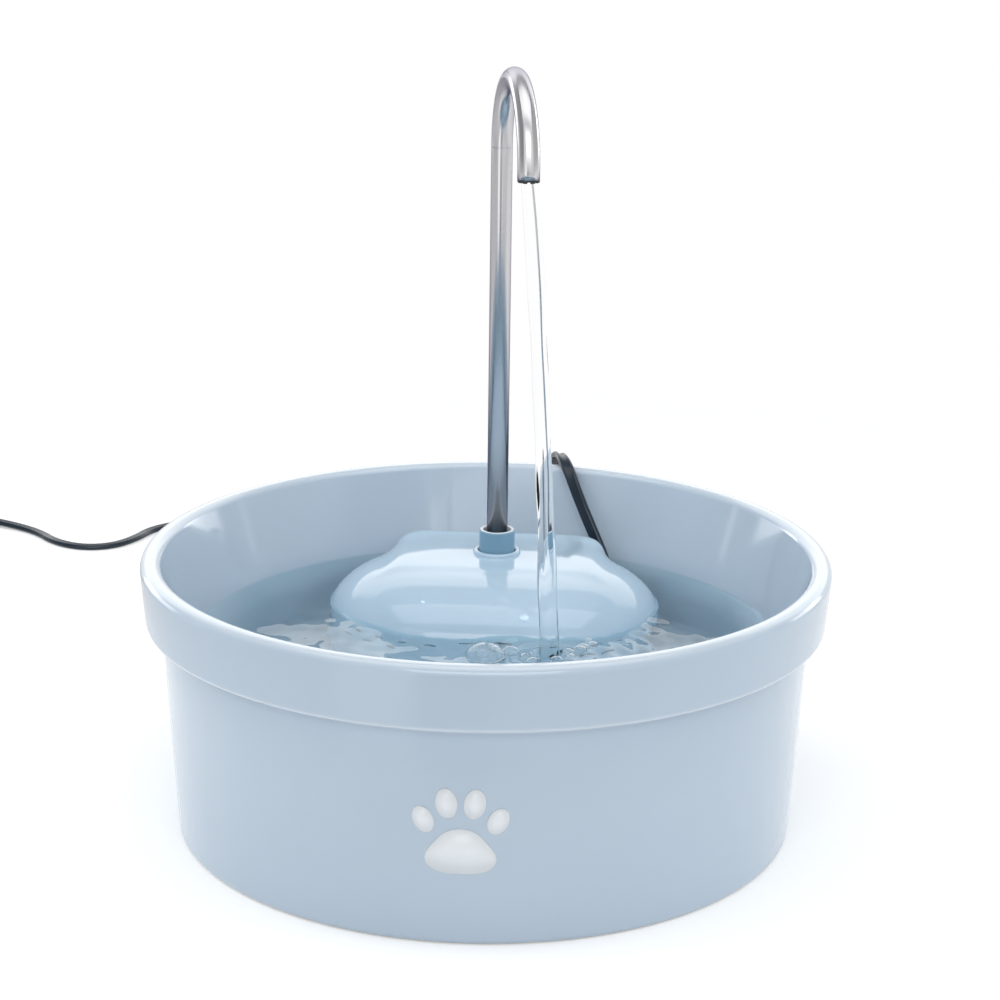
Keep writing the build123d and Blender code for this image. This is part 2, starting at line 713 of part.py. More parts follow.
def corner_radii(route):
    """Radius of the tangent arc at each inner corner of a route, set by its shorter run."""
    radii = []
    for before, corner, after in zip(route, route[1:], route[2:]):
        run_in = Vector(*corner) - Vector(*before)
        run_out = Vector(*after) - Vector(*corner)
        half_turn = math.radians(run_in.get_angle(run_out)) / 2
        radii.append(arc_share * min(run_in.length, run_out.length) / math.tan(half_turn))
    return radii


def cord_tube(route, name):
    """Round tube along straight runs joined by tangent arcs."""
    radii = corner_radii(route)
    path = FilletPolyline(*route, radius=radii)
    start = Vector(*route[0])
    section = Plane(origin=start, z_dir=Vector(*route[1]) - start) * Circle(cord_diameter / 2)
    tube = sweep(section, path=path)
    ideal = math.pi * cord_diameter ** 2 / 4 * path.length
    print(name, "length", round(path.length, 1), "volume share", round(tube.volume / ideal, 4))
    print(name, "radii", [round(radius, 1) for radius in radii])
    return tube, path.length


def bundle_section(margin):
    """Rounded section of the coiled bundle, grown by a margin, upright at the coil's middle radius."""
    section = RectangleRounded(coil_bundle_width + 2 * margin, coil_bundle_height + 2 * margin,
                               coil_bundle_round + margin)
    return Plane.XZ * Pos(coil_middle_radius, tie_thickness + coil_bundle_height / 2) * section


def make_cord_coil():
    return Pos(coil_centre[0], coil_centre[1], 0) * revolve(bundle_section(0), axis=Axis.Z)


def make_cord_tie():
    arc = math.degrees(tie_width / coil_middle_radius)
    band = revolve(bundle_section(tie_thickness) - bundle_section(0), axis=Axis.Z, revolution_arc=arc)
    return Pos(coil_centre[0], coil_centre[1], 0) * Rot(0, 0, -90 - arc / 2) * band


def plug_place():
    """Plane at the end of the tail, looking along the plug and level with the floor."""
    last = Vector(*cord_tail_route[-1])
    heading = last - Vector(*cord_tail_route[-2])
    heading = Vector(heading.X, heading.Y, 0)
    origin = Vector(last.X, last.Y, overmould_height / 2)
    return Plane(origin=origin, x_dir=heading.cross(Vector(0, 0, 1)), z_dir=heading)


def make_usb_overmould():
    grip = Box(overmould_width, overmould_height, overmould_length)
    grip = fillet(grip.edges().filter_by(Axis.Z), overmould_round)
    return plug_place() * Pos(0, 0, overmould_length / 2) * grip


def make_usb_shell():
    shell = Box(usb_shell_width, usb_shell_height, usb_shell_length)
    hollow = Box(usb_inside, usb_shell_height - 2 * usb_shell_wall, usb_shell_length)
    shell -= Pos(0, 0, usb_shell_wall) * hollow
    window = Box(usb_window, usb_window, usb_window)
    for x in (-usb_window_spread, usb_window_spread):
        shell -= Pos(x, usb_shell_height / 2, usb_window_inset) * window
    return plug_place() * Pos(0, 0, overmould_length + usb_shell_length / 2) * shell


def make_usb_tongue():
    tongue = Box(usb_inside - 2 * usb_tongue_gap, usb_tongue_height, usb_shell_length - 2 * usb_shell_wall)
    lift = -usb_shell_height / 2 + usb_shell_wall + usb_tongue_height / 2
    return plug_place() * Pos(0, lift, overmould_length + usb_shell_length / 2) * tongue


# ---------------------------------------------------------------- build and write
cord_run, run_length = cord_tube(cord_route, "cord_run")
cord_tail, tail_length = cord_tube(cord_tail_route, "cord_tail")
coil_length = cord_total_length - run_length - tail_length
coil_turns = coil_length / (2 * math.pi * coil_middle_radius)
print("coil holds", round(coil_length, 1), "in turns:", round(coil_turns, 2))

write("bowl", make_bowl())
write("pump_cover", make_pump_cover())
write("filter_holder", make_filter_holder())
write("filter_foam", make_filter_foam())
write("carbon_pack", make_carbon_pack())
write("pump_housing", make_pump_housing())
write("pump_back_cap", make_pump_back_cap())
write("stator_core", make_stator_core())
write("coil_bobbin", make_coil_bobbin())
write("coil_winding", make_coil_winding())
write("driver_board", make_driver_board())
write("impeller_shaft", make_impeller_shaft())
write("shaft_bushes", make_shaft_bushes())
write("chamber_cover", make_chamber_cover())
write("chamber_seal", make_chamber_seal())
write("intake_grille", make_intake_grille())
write("flow_dial", make_flow_dial())
write("outlet_nozzle", make_outlet_nozzle())
write("suction_cups", make_suction_cups())
write("cable_gland", make_cable_gland())
write("rotor_magnet", make_rotor_magnet())
write("impeller_wheel", make_impeller_wheel())
write("collar", make_collar())
write("spout_tube", make_spout_tube())
write("outlet_insert", make_outlet_insert())
write("cord_run", cord_run)
write("cord_tail", cord_tail)
write("cord_coil", make_cord_coil())
write("cord_tie", make_cord_tie())
write("usb_overmould", make_usb_overmould())
write("usb_shell", make_usb_shell())
write("usb_tongue", make_usb_tongue())
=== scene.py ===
"""Pet water fountain: the looks of every piece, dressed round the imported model.

Sections follow the object as it is put together. Lengths are in metres, and MM turns a
maker's millimetres into them. +Z is up and -Y is the drinking side.
"""
import math

import bmesh
import bpy
from mathutils import Matrix, Quaternion, Vector, noise


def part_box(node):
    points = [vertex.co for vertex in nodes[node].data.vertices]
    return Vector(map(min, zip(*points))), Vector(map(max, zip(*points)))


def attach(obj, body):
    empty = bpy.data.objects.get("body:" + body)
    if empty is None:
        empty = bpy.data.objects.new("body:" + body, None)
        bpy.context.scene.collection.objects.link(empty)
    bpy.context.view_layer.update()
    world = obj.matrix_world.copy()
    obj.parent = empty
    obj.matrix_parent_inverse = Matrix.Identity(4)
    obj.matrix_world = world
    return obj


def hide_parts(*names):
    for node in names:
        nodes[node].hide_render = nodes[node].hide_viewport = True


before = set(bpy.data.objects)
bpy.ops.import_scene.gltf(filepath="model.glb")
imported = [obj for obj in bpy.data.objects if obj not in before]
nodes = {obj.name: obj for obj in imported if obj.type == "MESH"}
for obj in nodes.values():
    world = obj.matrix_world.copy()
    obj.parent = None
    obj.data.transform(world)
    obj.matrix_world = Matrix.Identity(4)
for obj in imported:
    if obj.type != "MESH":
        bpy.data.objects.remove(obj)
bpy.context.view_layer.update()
MM = 0.001


# ------------------------------------------------------------------ studio
# A white table that melts into white surroundings, a wide softbox overhead, one at each side and
# one by the camera. Mirrors alone see dark cards, a screen behind, windows and a dim ceiling.
def feed(tree, node, inputs):
    """Sets inputs of a node, each given as a value or as a socket to link."""
    for key, value in inputs.items():
        if isinstance(value, bpy.types.NodeSocket):
            tree.links.new(value, node.inputs[key])
        else:
            node.inputs[key].default_value = value


def add_node(tree, kind, inputs=None, **settings):
    """A shader node with its settings and its inputs."""
    node = tree.nodes.new("ShaderNode" + kind)
    for key, value in settings.items():
        setattr(node, key, value)
    feed(tree, node, inputs or {})
    return node


def linear(red, green, blue):
    """Colour for a shader from the 0 to 255 values of a colour card."""
    def open_up(value):
        value /= 255
        return value / 12.92 if value <= 0.04045 else ((value + 0.055) / 1.055) ** 2.4
    return (open_up(red), open_up(green), open_up(blue), 1.0)


def math_node(tree, operation, first, second=0.0, third=0.0, clamp=False):
    """Result socket of one arithmetic step."""
    inputs = {0: first, 1: second, 2: third}
    return add_node(tree, "Math", inputs, operation=operation, use_clamp=clamp).outputs["Value"]


def times(tree, first, second):
    """Socket with the product of two values."""
    return math_node(tree, "MULTIPLY", first, second)


def vector_node(tree, operation, first, second=(0, 0, 0), output="Vector"):
    """Result socket of one step with vectors."""
    return add_node(tree, "VectorMath", {0: first, 1: second}, operation=operation).outputs[output]


def mix_colour(tree, share, first, second):
    """Socket with one colour blended into another."""
    return add_node(tree, "Mix", {0: share, 6: first, 7: second}, data_type="RGBA").outputs[2]


def seen_straight(tree):
    """1 for what the camera, a reflection or a glass piece looks at, 0 for soft light."""
    path = add_node(tree, "LightPath").outputs
    seen = math_node(tree, "ADD", path["Is Camera Ray"], path["Is Glossy Ray"])
    return math_node(tree, "ADD", seen, path["Is Transmission Ray"], clamp=True)


def mirror_ray(tree):
    """1 for what a reflection looks at. Rays through clear pieces count as gloss too, so
    they are taken off."""
    path = add_node(tree, "LightPath").outputs
    return math_node(tree, "SUBTRACT", path["Is Glossy Ray"], path["Is Transmission Ray"], clamp=True)


def smooth_step(tree, value, low, high):
    """0 at low, 1 at high and a soft slope between, whichever of the two is greater."""
    inputs = {"Value": value, "From Min": low, "From Max": high}
    return add_node(tree, "MapRange", inputs, interpolation_type="SMOOTHSTEP").outputs["Result"]


def sector_pattern(tree, place, sectors):
    """Brightness by direction round the object, given as (degrees from ahead, brightness)."""
    parts = add_node(tree, "SeparateXYZ", {"Vector": place}).outputs
    turn = math_node(tree, "ARCTAN2", parts["X"], times(tree, parts["Y"], -1.0))
    share = math_node(tree, "MULTIPLY_ADD", turn, 1 / math.tau, 0.5)
    ramp = add_node(tree, "ValToRGB", {"Fac": share})
    marks = ramp.color_ramp.elements
    while len(marks) < len(sectors):
        marks.new(0.5)
    for mark, (degrees, bright) in zip(marks, sectors):
        mark.position = degrees / 360 + 0.5
        mark.color = (bright, bright, bright, 1)
    return ramp.outputs["Color"]


white = (1, 1, 1, 1)
studio_ambient = 0.42
studio_white = 1.0
sky_edge = 0.69              # gloss sees a darker ceiling above this height, as a sine
sky_soft = 0.012
ceiling_bright = 0.42
table_glow = 0.235           # keeps the table white without lighting the object more
table_size = 6.0
table_colour = (0.90, 0.91, 0.92, 1.0)
table_fade = (0.30, 0.75)    # between these distances the table melts into the white
sector_fade = (0.18, 0.34)   # and between these its sectors come in
table_sectors = (            # what metal sees of the table, by turn from straight ahead
    (-180, 0.84), (-108, 0.72), (-60, 0.70), (-38, 0.70), (-32, 1.4), (-17, 1.4), (-11, 0.40),
    (2, 0.42), (12, 0.76), (62, 0.78), (84, 1.0), (180, 0.98))
wall_sectors = (             # and of the studio's walls: a dark card at each side
    (-180, 1.0), (-138, 1.0), (-126, 0.45), (-52, 0.30), (-42, 1.0), (45, 1.0), (60, 0.6),
    (126, 0.5), (138, 1.0), (180, 1.0))
screen_sectors = (           # a lit screen behind the object
    (-180, 1.0), (-134, 1.0), (-125, 0.0), (125, 0.0), (134, 1.0), (180, 1.0))
screen_edge = (0.16, 0.23)   # its soft lower edge, as sines
screen_bright = 1.35         # over the white of the walls; it fades towards the top
window_sectors = (           # a window and the gap beside its blind, low at each side
    (-180, 0.0), (-142, 0.0), (-140, 1.0), (-114, 1.0), (-112, 0.0), (-100.5, 0.0),
    (-100, 0.8), (-97.5, 0.8), (-97, 0.0), (104, 0.0), (105, 0.3), (107, 0.3), (108, 0.0),
    (118, 0.0), (120, 1.0), (140, 1.0), (142, 0.0), (180, 0.0))
window_edge = (0.30, 0.22)   # the windows' soft upper edge
window_bright = 4.5

world = bpy.data.worlds.new("studio_surround")
bpy.context.scene.world = world
world.use_nodes = True
sky = world.node_tree
sky.nodes.clear()
way = add_node(sky, "TexCoord").outputs["Generated"]
way_up = add_node(sky, "SeparateXYZ", {"Vector": way}).outputs["Z"]
by_mirror = mirror_ray(sky)
ceiling = smooth_step(sky, way_up, sky_edge - sky_soft, sky_edge + sky_soft)
screen = math_node(sky, "SUBTRACT", smooth_step(sky, way_up, *screen_edge), ceiling, clamp=True)
screen = times(sky, screen, sector_pattern(sky, way, screen_sectors))
falloff = math_node(sky, "MULTIPLY_ADD", way_up, -screen_bright, screen_bright)
window = times(sky, smooth_step(sky, way_up, *window_edge), sector_pattern(sky, way, window_sectors))
extra = math_node(sky, "MULTIPLY_ADD", window, window_bright, times(sky, screen, falloff))
extra = math_node(sky, "MULTIPLY_ADD", ceiling, ceiling_bright - studio_white, extra)
strength = math_node(sky, "MULTIPLY_ADD", seen_straight(sky), studio_white - studio_ambient, studio_ambient)
strength = math_node(sky, "MULTIPLY_ADD", by_mirror, extra, strength)
cards = mix_colour(sky, by_mirror, white, sector_pattern(sky, way, wall_sectors))
glow = add_node(sky, "Background", {"Color": cards, "Strength": strength})
add_node(sky, "OutputWorld", {"Surface": glow.outputs["Background"]})


def as_data(name, mesh):
    """Mesh data from a bmesh, which is freed."""
    data = bpy.data.meshes.new(name)
    mesh.to_mesh(data)
    mesh.free()
    return data


def new_object(name, data):
    """An object that is linked into the scene."""
    thing = bpy.data.objects.new(name, data)
    bpy.context.scene.collection.objects.link(thing)
    return thing


def blank_material(name):
    """A material with no nodes in it yet, and its node tree."""
    material = bpy.data.materials.new(name)
    material.use_nodes = True
    material.node_tree.nodes.clear()
    return material, material.node_tree


def lay_table():
    """The white table under the object. Metal sees soft sectors in it, as from cards round it."""
    sheet = bmesh.new()
    bmesh.ops.create_grid(sheet, x_segments=1, y_segments=1, size=table_size / 2)
    table = new_object("table", as_data("table", sheet))
    paint, tree = blank_material("table_white")
    place = add_node(tree, "TexCoord").outputs["Object"]
    away = vector_node(tree, "LENGTH", place, output="Value")
    mirrored = mirror_ray(tree)
    seen = seen_straight(tree)
    top = add_node(tree, "BsdfDiffuse", {"Color": table_colour})
    shine = add_node(tree, "Emission", {"Color": white, "Strength": times(tree, seen, table_glow)})
    near = add_node(tree, "AddShader", {0: top.outputs[0], 1: shine.outputs[0]})
    pattern = mix_colour(tree, mirrored, white, sector_pattern(tree, place, table_sectors))
    far = add_node(tree, "Emission", {"Color": pattern, "Strength": studio_white})
    melted = smooth_step(tree, away, *table_fade)
    patterned = times(tree, mirrored, smooth_step(tree, away, *sector_fade))
    share = times(tree, seen, math_node(tree, "MAXIMUM", melted, patterned))
    both = add_node(tree, "MixShader", {"Fac": share, 1: near.outputs[0], 2: far.outputs[0]})
    add_node(tree, "OutputMaterial", {"Surface": both.outputs[0]})
    table.data.materials.append(paint)


def softbox(name, place, aim, width, height, watts, mirrored=True):
    """A rectangular lamp that faces the point it is aimed at."""
    lamp = bpy.data.lights.new(name, "AREA")
    lamp.shape = "RECTANGLE"
    lamp.size = width
    lamp.size_y = height
    lamp.energy = watts
    stand = new_object(name, lamp)
    stand.location = place
    stand.rotation_mode = "QUATERNION"
    stand.rotation_quaternion = (Vector(aim) - Vector(place)).to_track_quat("-Z", "Y")
    stand.visible_camera = False
    stand.visible_glossy = mirrored


lay_table()
middle_of_bowl = (0.0, 0.0, 0.06)
softbox("softbox_over", (0.0, -0.10, 1.15), (0.0, 0.05, 0.0), 1.50, 0.80, 5.0)
softbox("softbox_left", (-1.05, 0.15, 0.55), middle_of_bowl, 1.00, 1.00, 4.8, mirrored=False)
softbox("softbox_right", (1.05, 0.15, 0.55), middle_of_bowl, 1.00, 1.00, 3.8, mirrored=False)
softbox("softbox_front", (0.10, -1.50, 0.95), middle_of_bowl, 1.40, 0.70, 7.0)

camera_place = (0.0642, -0.8940, 0.3835)
camera_heading = math.radians(-3.811)     # from +Y towards +X
camera_dip = math.radians(16.29)
camera_roll = math.radians(0.75)
camera_lens = 93.05


def set_camera():
    """The camera, on its stand in front of the bowl."""
    level = math.cos(camera_dip)
    look = Vector((math.sin(camera_heading) * level, math.cos(camera_heading) * level,
                   -math.sin(camera_dip)))
    lens = bpy.data.cameras.new("camera")
    lens.lens = camera_lens
    lens.sensor_width = 36.0
    lens.clip_start = 0.01
    camera = new_object("camera", lens)
    camera.location = camera_place
    camera.rotation_mode = "QUATERNION"
    camera.rotation_quaternion = look.to_track_quat("-Z", "Y") @ Quaternion((0, 0, 1), camera_roll)
    bpy.context.scene.camera = camera


set_camera()
bpy.context.scene.view_settings.view_transform = "Standard"


# ------------------------------------------------------------------ bowl
# Slip-cast stoneware with a rolled rim band and a foot ring, dipped in a pale blue-grey glaze.
# The rim and the band's edge have a painted highlight in a paler shade, and the glaze is wiped
# off the foot.
def piece(name, mesh, material, body, replaces=()):
    """Makes an object from a bmesh, paints it and puts it on its body."""
    data = as_data(name, mesh)
    data.shade_smooth()
    thing = new_object(name, data)
    data.materials.append(material)
    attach(thing, body)
    if replaces:
        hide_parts(*replaces)
    return thing


def outline(mesh, corners, segments, closed=False):
    """Line in the XZ plane through (radius, height, rounding) corners, in millimetres."""
    line = [mesh.verts.new((radius * MM, 0, height * MM)) for radius, height, _ in corners]
    for start, end in zip(line, line[1:] + line[:1] * closed):
        mesh.edges.new((start, end))
    places = [corner.co.copy() for corner in line]
    last = len(corners) - (0 if closed else 1)
    for index in range(0 if closed else 1, last):
        if corners[index][2] <= 0:
            continue
        before = places[index] - places[index - 1]
        after = places[(index + 1) % len(places)] - places[index]
        reach = corners[index][2] * MM * math.tan(before.angle(after) / 2)
        bmesh.ops.bevel(mesh, geom=[line[index]], offset=reach, segments=segments, profile=0.5,
                        affect="VERTICES", material=-1)


def spun(mesh, steps, centre=(0.0, 0.0)):
    """Turns what is in the mesh a full circle about an upright axis, in metres."""
    bmesh.ops.spin(mesh, geom=mesh.verts[:] + mesh.edges[:], axis=(0, 0, 1), cent=(0, 0, 0),
                   angle=math.tau, steps=steps, use_merge=True, use_duplicate=False)
    bmesh.ops.remove_doubles(mesh, verts=mesh.verts, dist=0.01 * MM)
    bmesh.ops.recalc_face_normals(mesh, faces=mesh.faces)
    bmesh.ops.translate(mesh, verts=mesh.verts, vec=(centre[0], centre[1], 0))
    return mesh


def turned(corners, steps=192, segments=6, centre=(0.0, 0.0), ring=False):
    """Turned solid. A plain one starts and ends on the axis, and a ring is a closed profile."""
    mesh = bmesh.new()
    outline(mesh, corners, segments, ring)
    return spun(mesh, steps, centre)


def new_group(name, inputs, outputs):
    """Shader node group, the sockets it is given and its end node. Inputs and outputs are
    each a table of names and kinds."""
    group = bpy.data.node_groups.new(name, "ShaderNodeTree")
    for direction, sockets in (("INPUT", inputs), ("OUTPUT", outputs)):
        for key, kind in sockets.items():
            group.interface.new_socket(name=key, in_out=direction, socket_type="NodeSocket" + kind)
    return group, group.nodes.new("NodeGroupInput").outputs, group.nodes.new("NodeGroupOutput")


def make_surface_group():
    """Slow drift of a colour, uneven gloss and a fine grain, all in the piece's own space."""
    group, given, out = new_group(
        "uneven_surface",
        {"Colour": "Color", "Drift": "Float", "Drift Size": "Float", "Roughness": "Float",
         "Spread": "Float", "Grain": "Float", "Grain Size": "Float"},
        {"Colour": "Color", "Roughness": "Float", "Normal": "Vector"})
    place = add_node(group, "TexCoord").outputs["Object"]

    def clouds(scale, **settings):
        inputs = {"Vector": place, "Scale": scale, **settings}
        return add_node(group, "TexNoise", inputs).outputs["Fac"]

    slow = math_node(group, "SUBTRACT", clouds(given["Drift Size"], Detail=3.0), 0.5)
    brightness = math_node(group, "MULTIPLY_ADD", times(group, slow, given["Drift"]), 2.0, 1.0)
    tinted = add_node(group, "HueSaturation", {"Color": given["Colour"], "Value": brightness})
    worn = math_node(group, "SUBTRACT", clouds(given["Drift Size"], Detail=6.0, Distortion=1.2), 0.5)
    gloss = math_node(group, "MULTIPLY_ADD", worn, given["Spread"], given["Roughness"], clamp=True)
    bump = add_node(group, "Bump", {"Strength": given["Grain"], "Distance": 0.2 * MM,
                                    "Height": clouds(given["Grain Size"], Detail=2.0)})
    feed(group, out, {"Colour": tinted.outputs["Color"], "Roughness": gloss,
                      "Normal": bump.outputs["Normal"]})
    return group


surface_group = make_surface_group()


def finish(name, colour, drift=0.08, drift_size=40.0, roughness=0.4, spread=0.1, grain=0.1,
           grain_size=900.0, **shader_values):
    """A material on one shader with an uneven surface; returns it, its shader and the group."""
    material, tree = blank_material(name)
    surface = add_node(tree, "Group", node_tree=surface_group)
    feed(tree, surface, {"Colour": colour, "Drift": drift, "Drift Size": drift_size, "Roughness": roughness,
                         "Spread": spread, "Grain": grain, "Grain Size": grain_size})
    shader = add_node(tree, "BsdfPrincipled", {
        "Base Color": surface.outputs["Colour"], "Roughness": surface.outputs["Roughness"],
        "Normal": surface.outputs["Normal"]})
    feed(tree, shader, {key.replace("_", " "): value for key, value in shader_values.items()})
    add_node(tree, "OutputMaterial", {"Surface": shader.outputs["BSDF"]})
    return material, shader, surface


def band_mask(tree, height, low, high, soft):
    """1 between two heights and 0 outside them, with soft ends, in metres."""
    rise = smooth_step(tree, height, low - soft, low + soft)
    return times(tree, rise, smooth_step(tree, height, high + soft, high - soft))


def height_and_radius(tree, centre_y=0.0):
    """Sockets with a point's height and its distance from an upright axis, in metres."""
    place = add_node(tree, "TexCoord").outputs["Object"]
    height = add_node(tree, "SeparateXYZ", {"Vector": place}).outputs["Z"]
    centred = vector_node(tree, "SUBTRACT", place, (0, centre_y, 0))
    flat = vector_node(tree, "MULTIPLY", centred, (1, 1, 0))
    return height, vector_node(tree, "LENGTH", flat, output="Value")


rim_radius = 125.2
bowl_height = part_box("bowl")[1].z / MM
band_height = 23.2
band_taper = 1.9
band_step = 5.5
body_taper = 4.8
rim_thickness = 7.0
rim_round = 3.3
foot_ring_width = 12.0
foot_recess = 1.8
bowl_floor = 9.0
waist_height = 60.0
waist_wall = 12.8
waist_round = 100.0
foot_wall = 10.4
floor_round = 8.0
glaze_colour = linear(184, 201, 217)
glaze_highlight = linear(220, 229, 237)
# colour of the painted highlight on the rim top and the band's lower edge
biscuit = linear(226, 220, 208)
body_top = bowl_height - band_height
body_top_radius = rim_radius - band_taper - band_step
foot_radius = body_top_radius - body_taper
waist_radius = foot_radius + body_taper * waist_height / body_top - waist_wall
floor_radius = foot_radius - foot_wall


def make_glaze():
    """Blue-grey glaze with a painted highlight on the rim and on the band's lower edge, and a bare foot."""
    material, shader, surface = finish(
        "bowl_glaze", glaze_colour, drift=0.035, drift_size=14.0, roughness=0.13, spread=0.08,
        grain=0.05, grain_size=260.0, IOR=1.52, Coat_Weight=0.35, Coat_Roughness=0.03)
    tree = material.node_tree
    height, radius = height_and_radius(tree)
    # painted highlight: a paler shade laid on the rim's top and on the outside of the band's lower edge
    rim_highlight = band_mask(tree, height, (bowl_height - 0.9) * MM, 1.0, 1.2 * MM)
    band_highlight = band_mask(tree, height, (body_top - 0.4) * MM, (body_top + 1.6) * MM, 0.7 * MM)
    outside = math_node(tree, "GREATER_THAN", radius, (body_top_radius - 4) * MM)
    edges = math_node(tree, "MAXIMUM", rim_highlight, times(tree, band_highlight, outside))
    glazed = mix_colour(tree, times(tree, edges, 0.55), surface.outputs["Colour"], glaze_highlight)
    bare = band_mask(tree, height, -1.0, 0.5 * MM, 0.3 * MM)
    dull = math_node(tree, "MAXIMUM", surface.outputs["Roughness"], times(tree, bare, 0.85))
    feed(tree, shader, {"Base Color": mix_colour(tree, bare, glazed, biscuit), "Roughness": dull})
    return material


def make_bowl(material):
    """The bowl, very slightly out of true as a cast and fired one is."""
    mesh = turned([
        (0, foot_recess, 0), (foot_radius - foot_ring_width, foot_recess, 0.9),
        (foot_radius - foot_ring_width + foot_recess, 0, 0.8), (foot_radius, 0, 2.4),
        (body_top_radius, body_top, 2.4), (rim_radius - band_taper, body_top, 2.2),
        (rim_radius, bowl_height, rim_round), (rim_radius - rim_thickness, bowl_height, rim_round),
        (waist_radius, waist_height, waist_round), (floor_radius, bowl_floor, floor_round),
        (0, bowl_floor, 0),
    ], steps=256, segments=8)
    for vertex in mesh.verts:
        wobble = noise.noise(vertex.co * 11.0) * 0.22 * MM
        out = Vector((vertex.co.x, vertex.co.y, 0))
        if out.length > 60 * MM and vertex.co.z > 4 * MM:
            vertex.co += out.normalized() * wobble
    bowl = piece("bowl_glazed", mesh, material, "root", ["bowl"])
    bowl.modifiers.new("even_shading", "WEIGHTED_NORMAL").keep_sharp = True


make_bowl(make_glaze())


# ------------------------------------------------------------------ paw print
# A generic paw fired on to the front of the bowl in one thin coat of pale slip: a lobed pad
# and four toes, each cut flat and then laid round the wall.
paw_height = 40.5
paw_turn = math.radians(0.4)
paw_coat = 0.12
paw_colour = linear(236, 241, 245)
pad_size = (11.5, 8.2)
toes = ((-12.4, 5.4, 3.4, 4.9, 24), (-4.7, 11.6, 3.6, 5.4, 8),
        (4.7, 11.6, 3.6, 5.4, -8), (12.4, 5.4, 3.4, 4.9, -24))


def sliced(mesh, place, away=(0, 0, 1), **clear):
    """Cuts all of a mesh along a plane, and clears one side of it if told to."""
    everything = mesh.verts[:] + mesh.edges[:] + mesh.faces[:]
    bmesh.ops.bisect_plane(mesh, geom=everything, plane_co=place, plane_no=away, **clear)


def thicken(thing, thickness, offset=-1.0):
    """Gives a sheet its wall, in millimetres, inwards unless told otherwise."""
    wall = thing.modifiers.new("wall", "SOLIDIFY")
    wall.thickness = thickness * MM
    wall.offset = offset
    return wall


def print_patch(mesh, place, size, turn=0.0, lobes=0.0):
    """One flat rounded patch of the print, in millimetres on a sheet."""
    made = bmesh.ops.create_circle(mesh, cap_ends=True, segments=64, radius=1.0)
    for vertex in made["verts"]:
        round_it = math.atan2(vertex.co.y, vertex.co.x)
        swell = 1 + lobes * math.cos(3 * (round_it - math.pi / 2))
        flat = Vector((vertex.co.x * size[0] * swell, vertex.co.y * size[1] * swell))
        flat.rotate(Matrix.Rotation(math.radians(turn), 2))
        vertex.co = Vector((flat.x + place[0], flat.y + place[1], 0))


def make_paw():
    mesh = bmesh.new()
    print_patch(mesh, (0, -6.5), pad_size, lobes=0.10)
    for across, up, wide, tall, turn in toes:
        print_patch(mesh, (across, up), (wide, tall), turn)
    for count in range(-16, 17):
        sliced(mesh, (count, 0, 0), (1, 0, 0))
    for vertex in mesh.verts:
        height = paw_height + vertex.co.y
        wall_radius = foot_radius + body_taper * height / body_top
        turn = paw_turn + vertex.co.x / wall_radius
        lifted = (wall_radius + 0.04) * MM
        vertex.co = Vector((lifted * math.sin(turn), -lifted * math.cos(turn), height * MM))
    for face in mesh.faces:
        face.normal_update()
        if face.normal.y > 0:
            face.normal_flip()
    material = finish("paw_print", paw_colour, drift=0.02, roughness=0.22, spread=0.1)[0]
    thicken(piece("paw_print", mesh, material, "root"), paw_coat, 1.0)


make_paw()


# ------------------------------------------------------------------ pump cover
# A moulded shell 2 mm thick: two lobes run into a low dome, with a block at the back for the
# pump. Its walls are blended, then the inlets, vent, lead slot and spout hole are cut.
cover_low, cover_high = (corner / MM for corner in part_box("pump_cover"))
collar_low, collar_high = (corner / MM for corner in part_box("collar"))
outlet_y = (collar_low.y + collar_high.y) / 2
dome_y = (cover_low.y + cover_high.y) / 2
lobe_radius = (cover_high.y - cover_low.y) / 2
dome_half_straight = cover_high.x - lobe_radius
cover_wall = 2.0
lip_height = 2.0
cover_top = cover_high.z - lip_height
crown_height = 17.7
skirt_top = cover_top - crown_height
dome_square = 3.2
crown_square = 1.6
dome_steepness = 0.08
block_half_width = 41.0
block_back = outlet_y + 31.3
block_front = 32.0           # inside the dome, where it doesn't show
block_corner = 12.0
block_top = cover_top + 0.4
block_edge = 5.0
block_rise = 0.06            # the block's top climbs this much towards its back
blend_reach = 5.5
cover_heart = Vector((0, 55, 40))
cover_aim = (66, 44, 46)     # half-sizes of the box whose grid is thrown out on to the cover
cover_past = 130.0           # from its heart, further than any of its walls
cover_cuts = 66
hole_radius = 7.3
lip_radius = 9.1
lip_bore = 7.05
inlet_size = (4.2, 2.4)
inlet_angles = (-140.0, -127.0, -114.0, -101.0)
inlet_rows = (53.0, 60.0)
vent_size = (20.0, 2.2)
vent_height = 64.0
cord_slot_angle = 53.8
cord_slot_width = 7.5
cord_slot_top = 57.0
cover_colour = linear(178, 203, 222)


def dome_gap(spot):
    """How far a point lies outside the lobed dome, roughly, in millimetres."""
    side = max(abs(spot.x) - dome_half_straight, 0)
    span = math.hypot(side, spot.y - dome_y) / lobe_radius
    rise = max(spot.z - skirt_top, 0) / crown_height
    return (span ** dome_square + rise ** crown_square - 1) / dome_steepness


def rounded_gap(first, second, radius):
    """How far a point lies outside two walls whose shared corner is rounded."""
    first, second = first + radius, second + radius
    return math.hypot(max(first, 0), max(second, 0)) + min(max(first, second), 0) - radius


def block_gap(spot):
    """How far a point lies outside the pump's block, in millimetres."""
    plan = rounded_gap(abs(spot.x) - block_half_width, spot.y - block_back, block_corner)
    top = block_top - block_rise * (block_back - spot.y)
    return rounded_gap(max(plan, block_front - spot.y), spot.z - top, block_edge)


def cover_gap(spot):
    """Dome and block in one, with a soft hollow between them."""
    dome, block = dome_gap(spot), block_gap(spot)
    overlap = max(blend_reach - abs(dome - block), 0) / blend_reach
    return min(dome, block) - overlap * overlap * blend_reach / 4


def on_cover(direction):
    """Where a line from the heart of the cover leaves it."""
    inside, outside = 0.0, cover_past
    for _ in range(22):
        middle = (inside + outside) / 2
        if cover_gap(cover_heart + direction * middle) < 0:
            inside = middle
        else:
            outside = middle
    return cover_heart + direction * inside


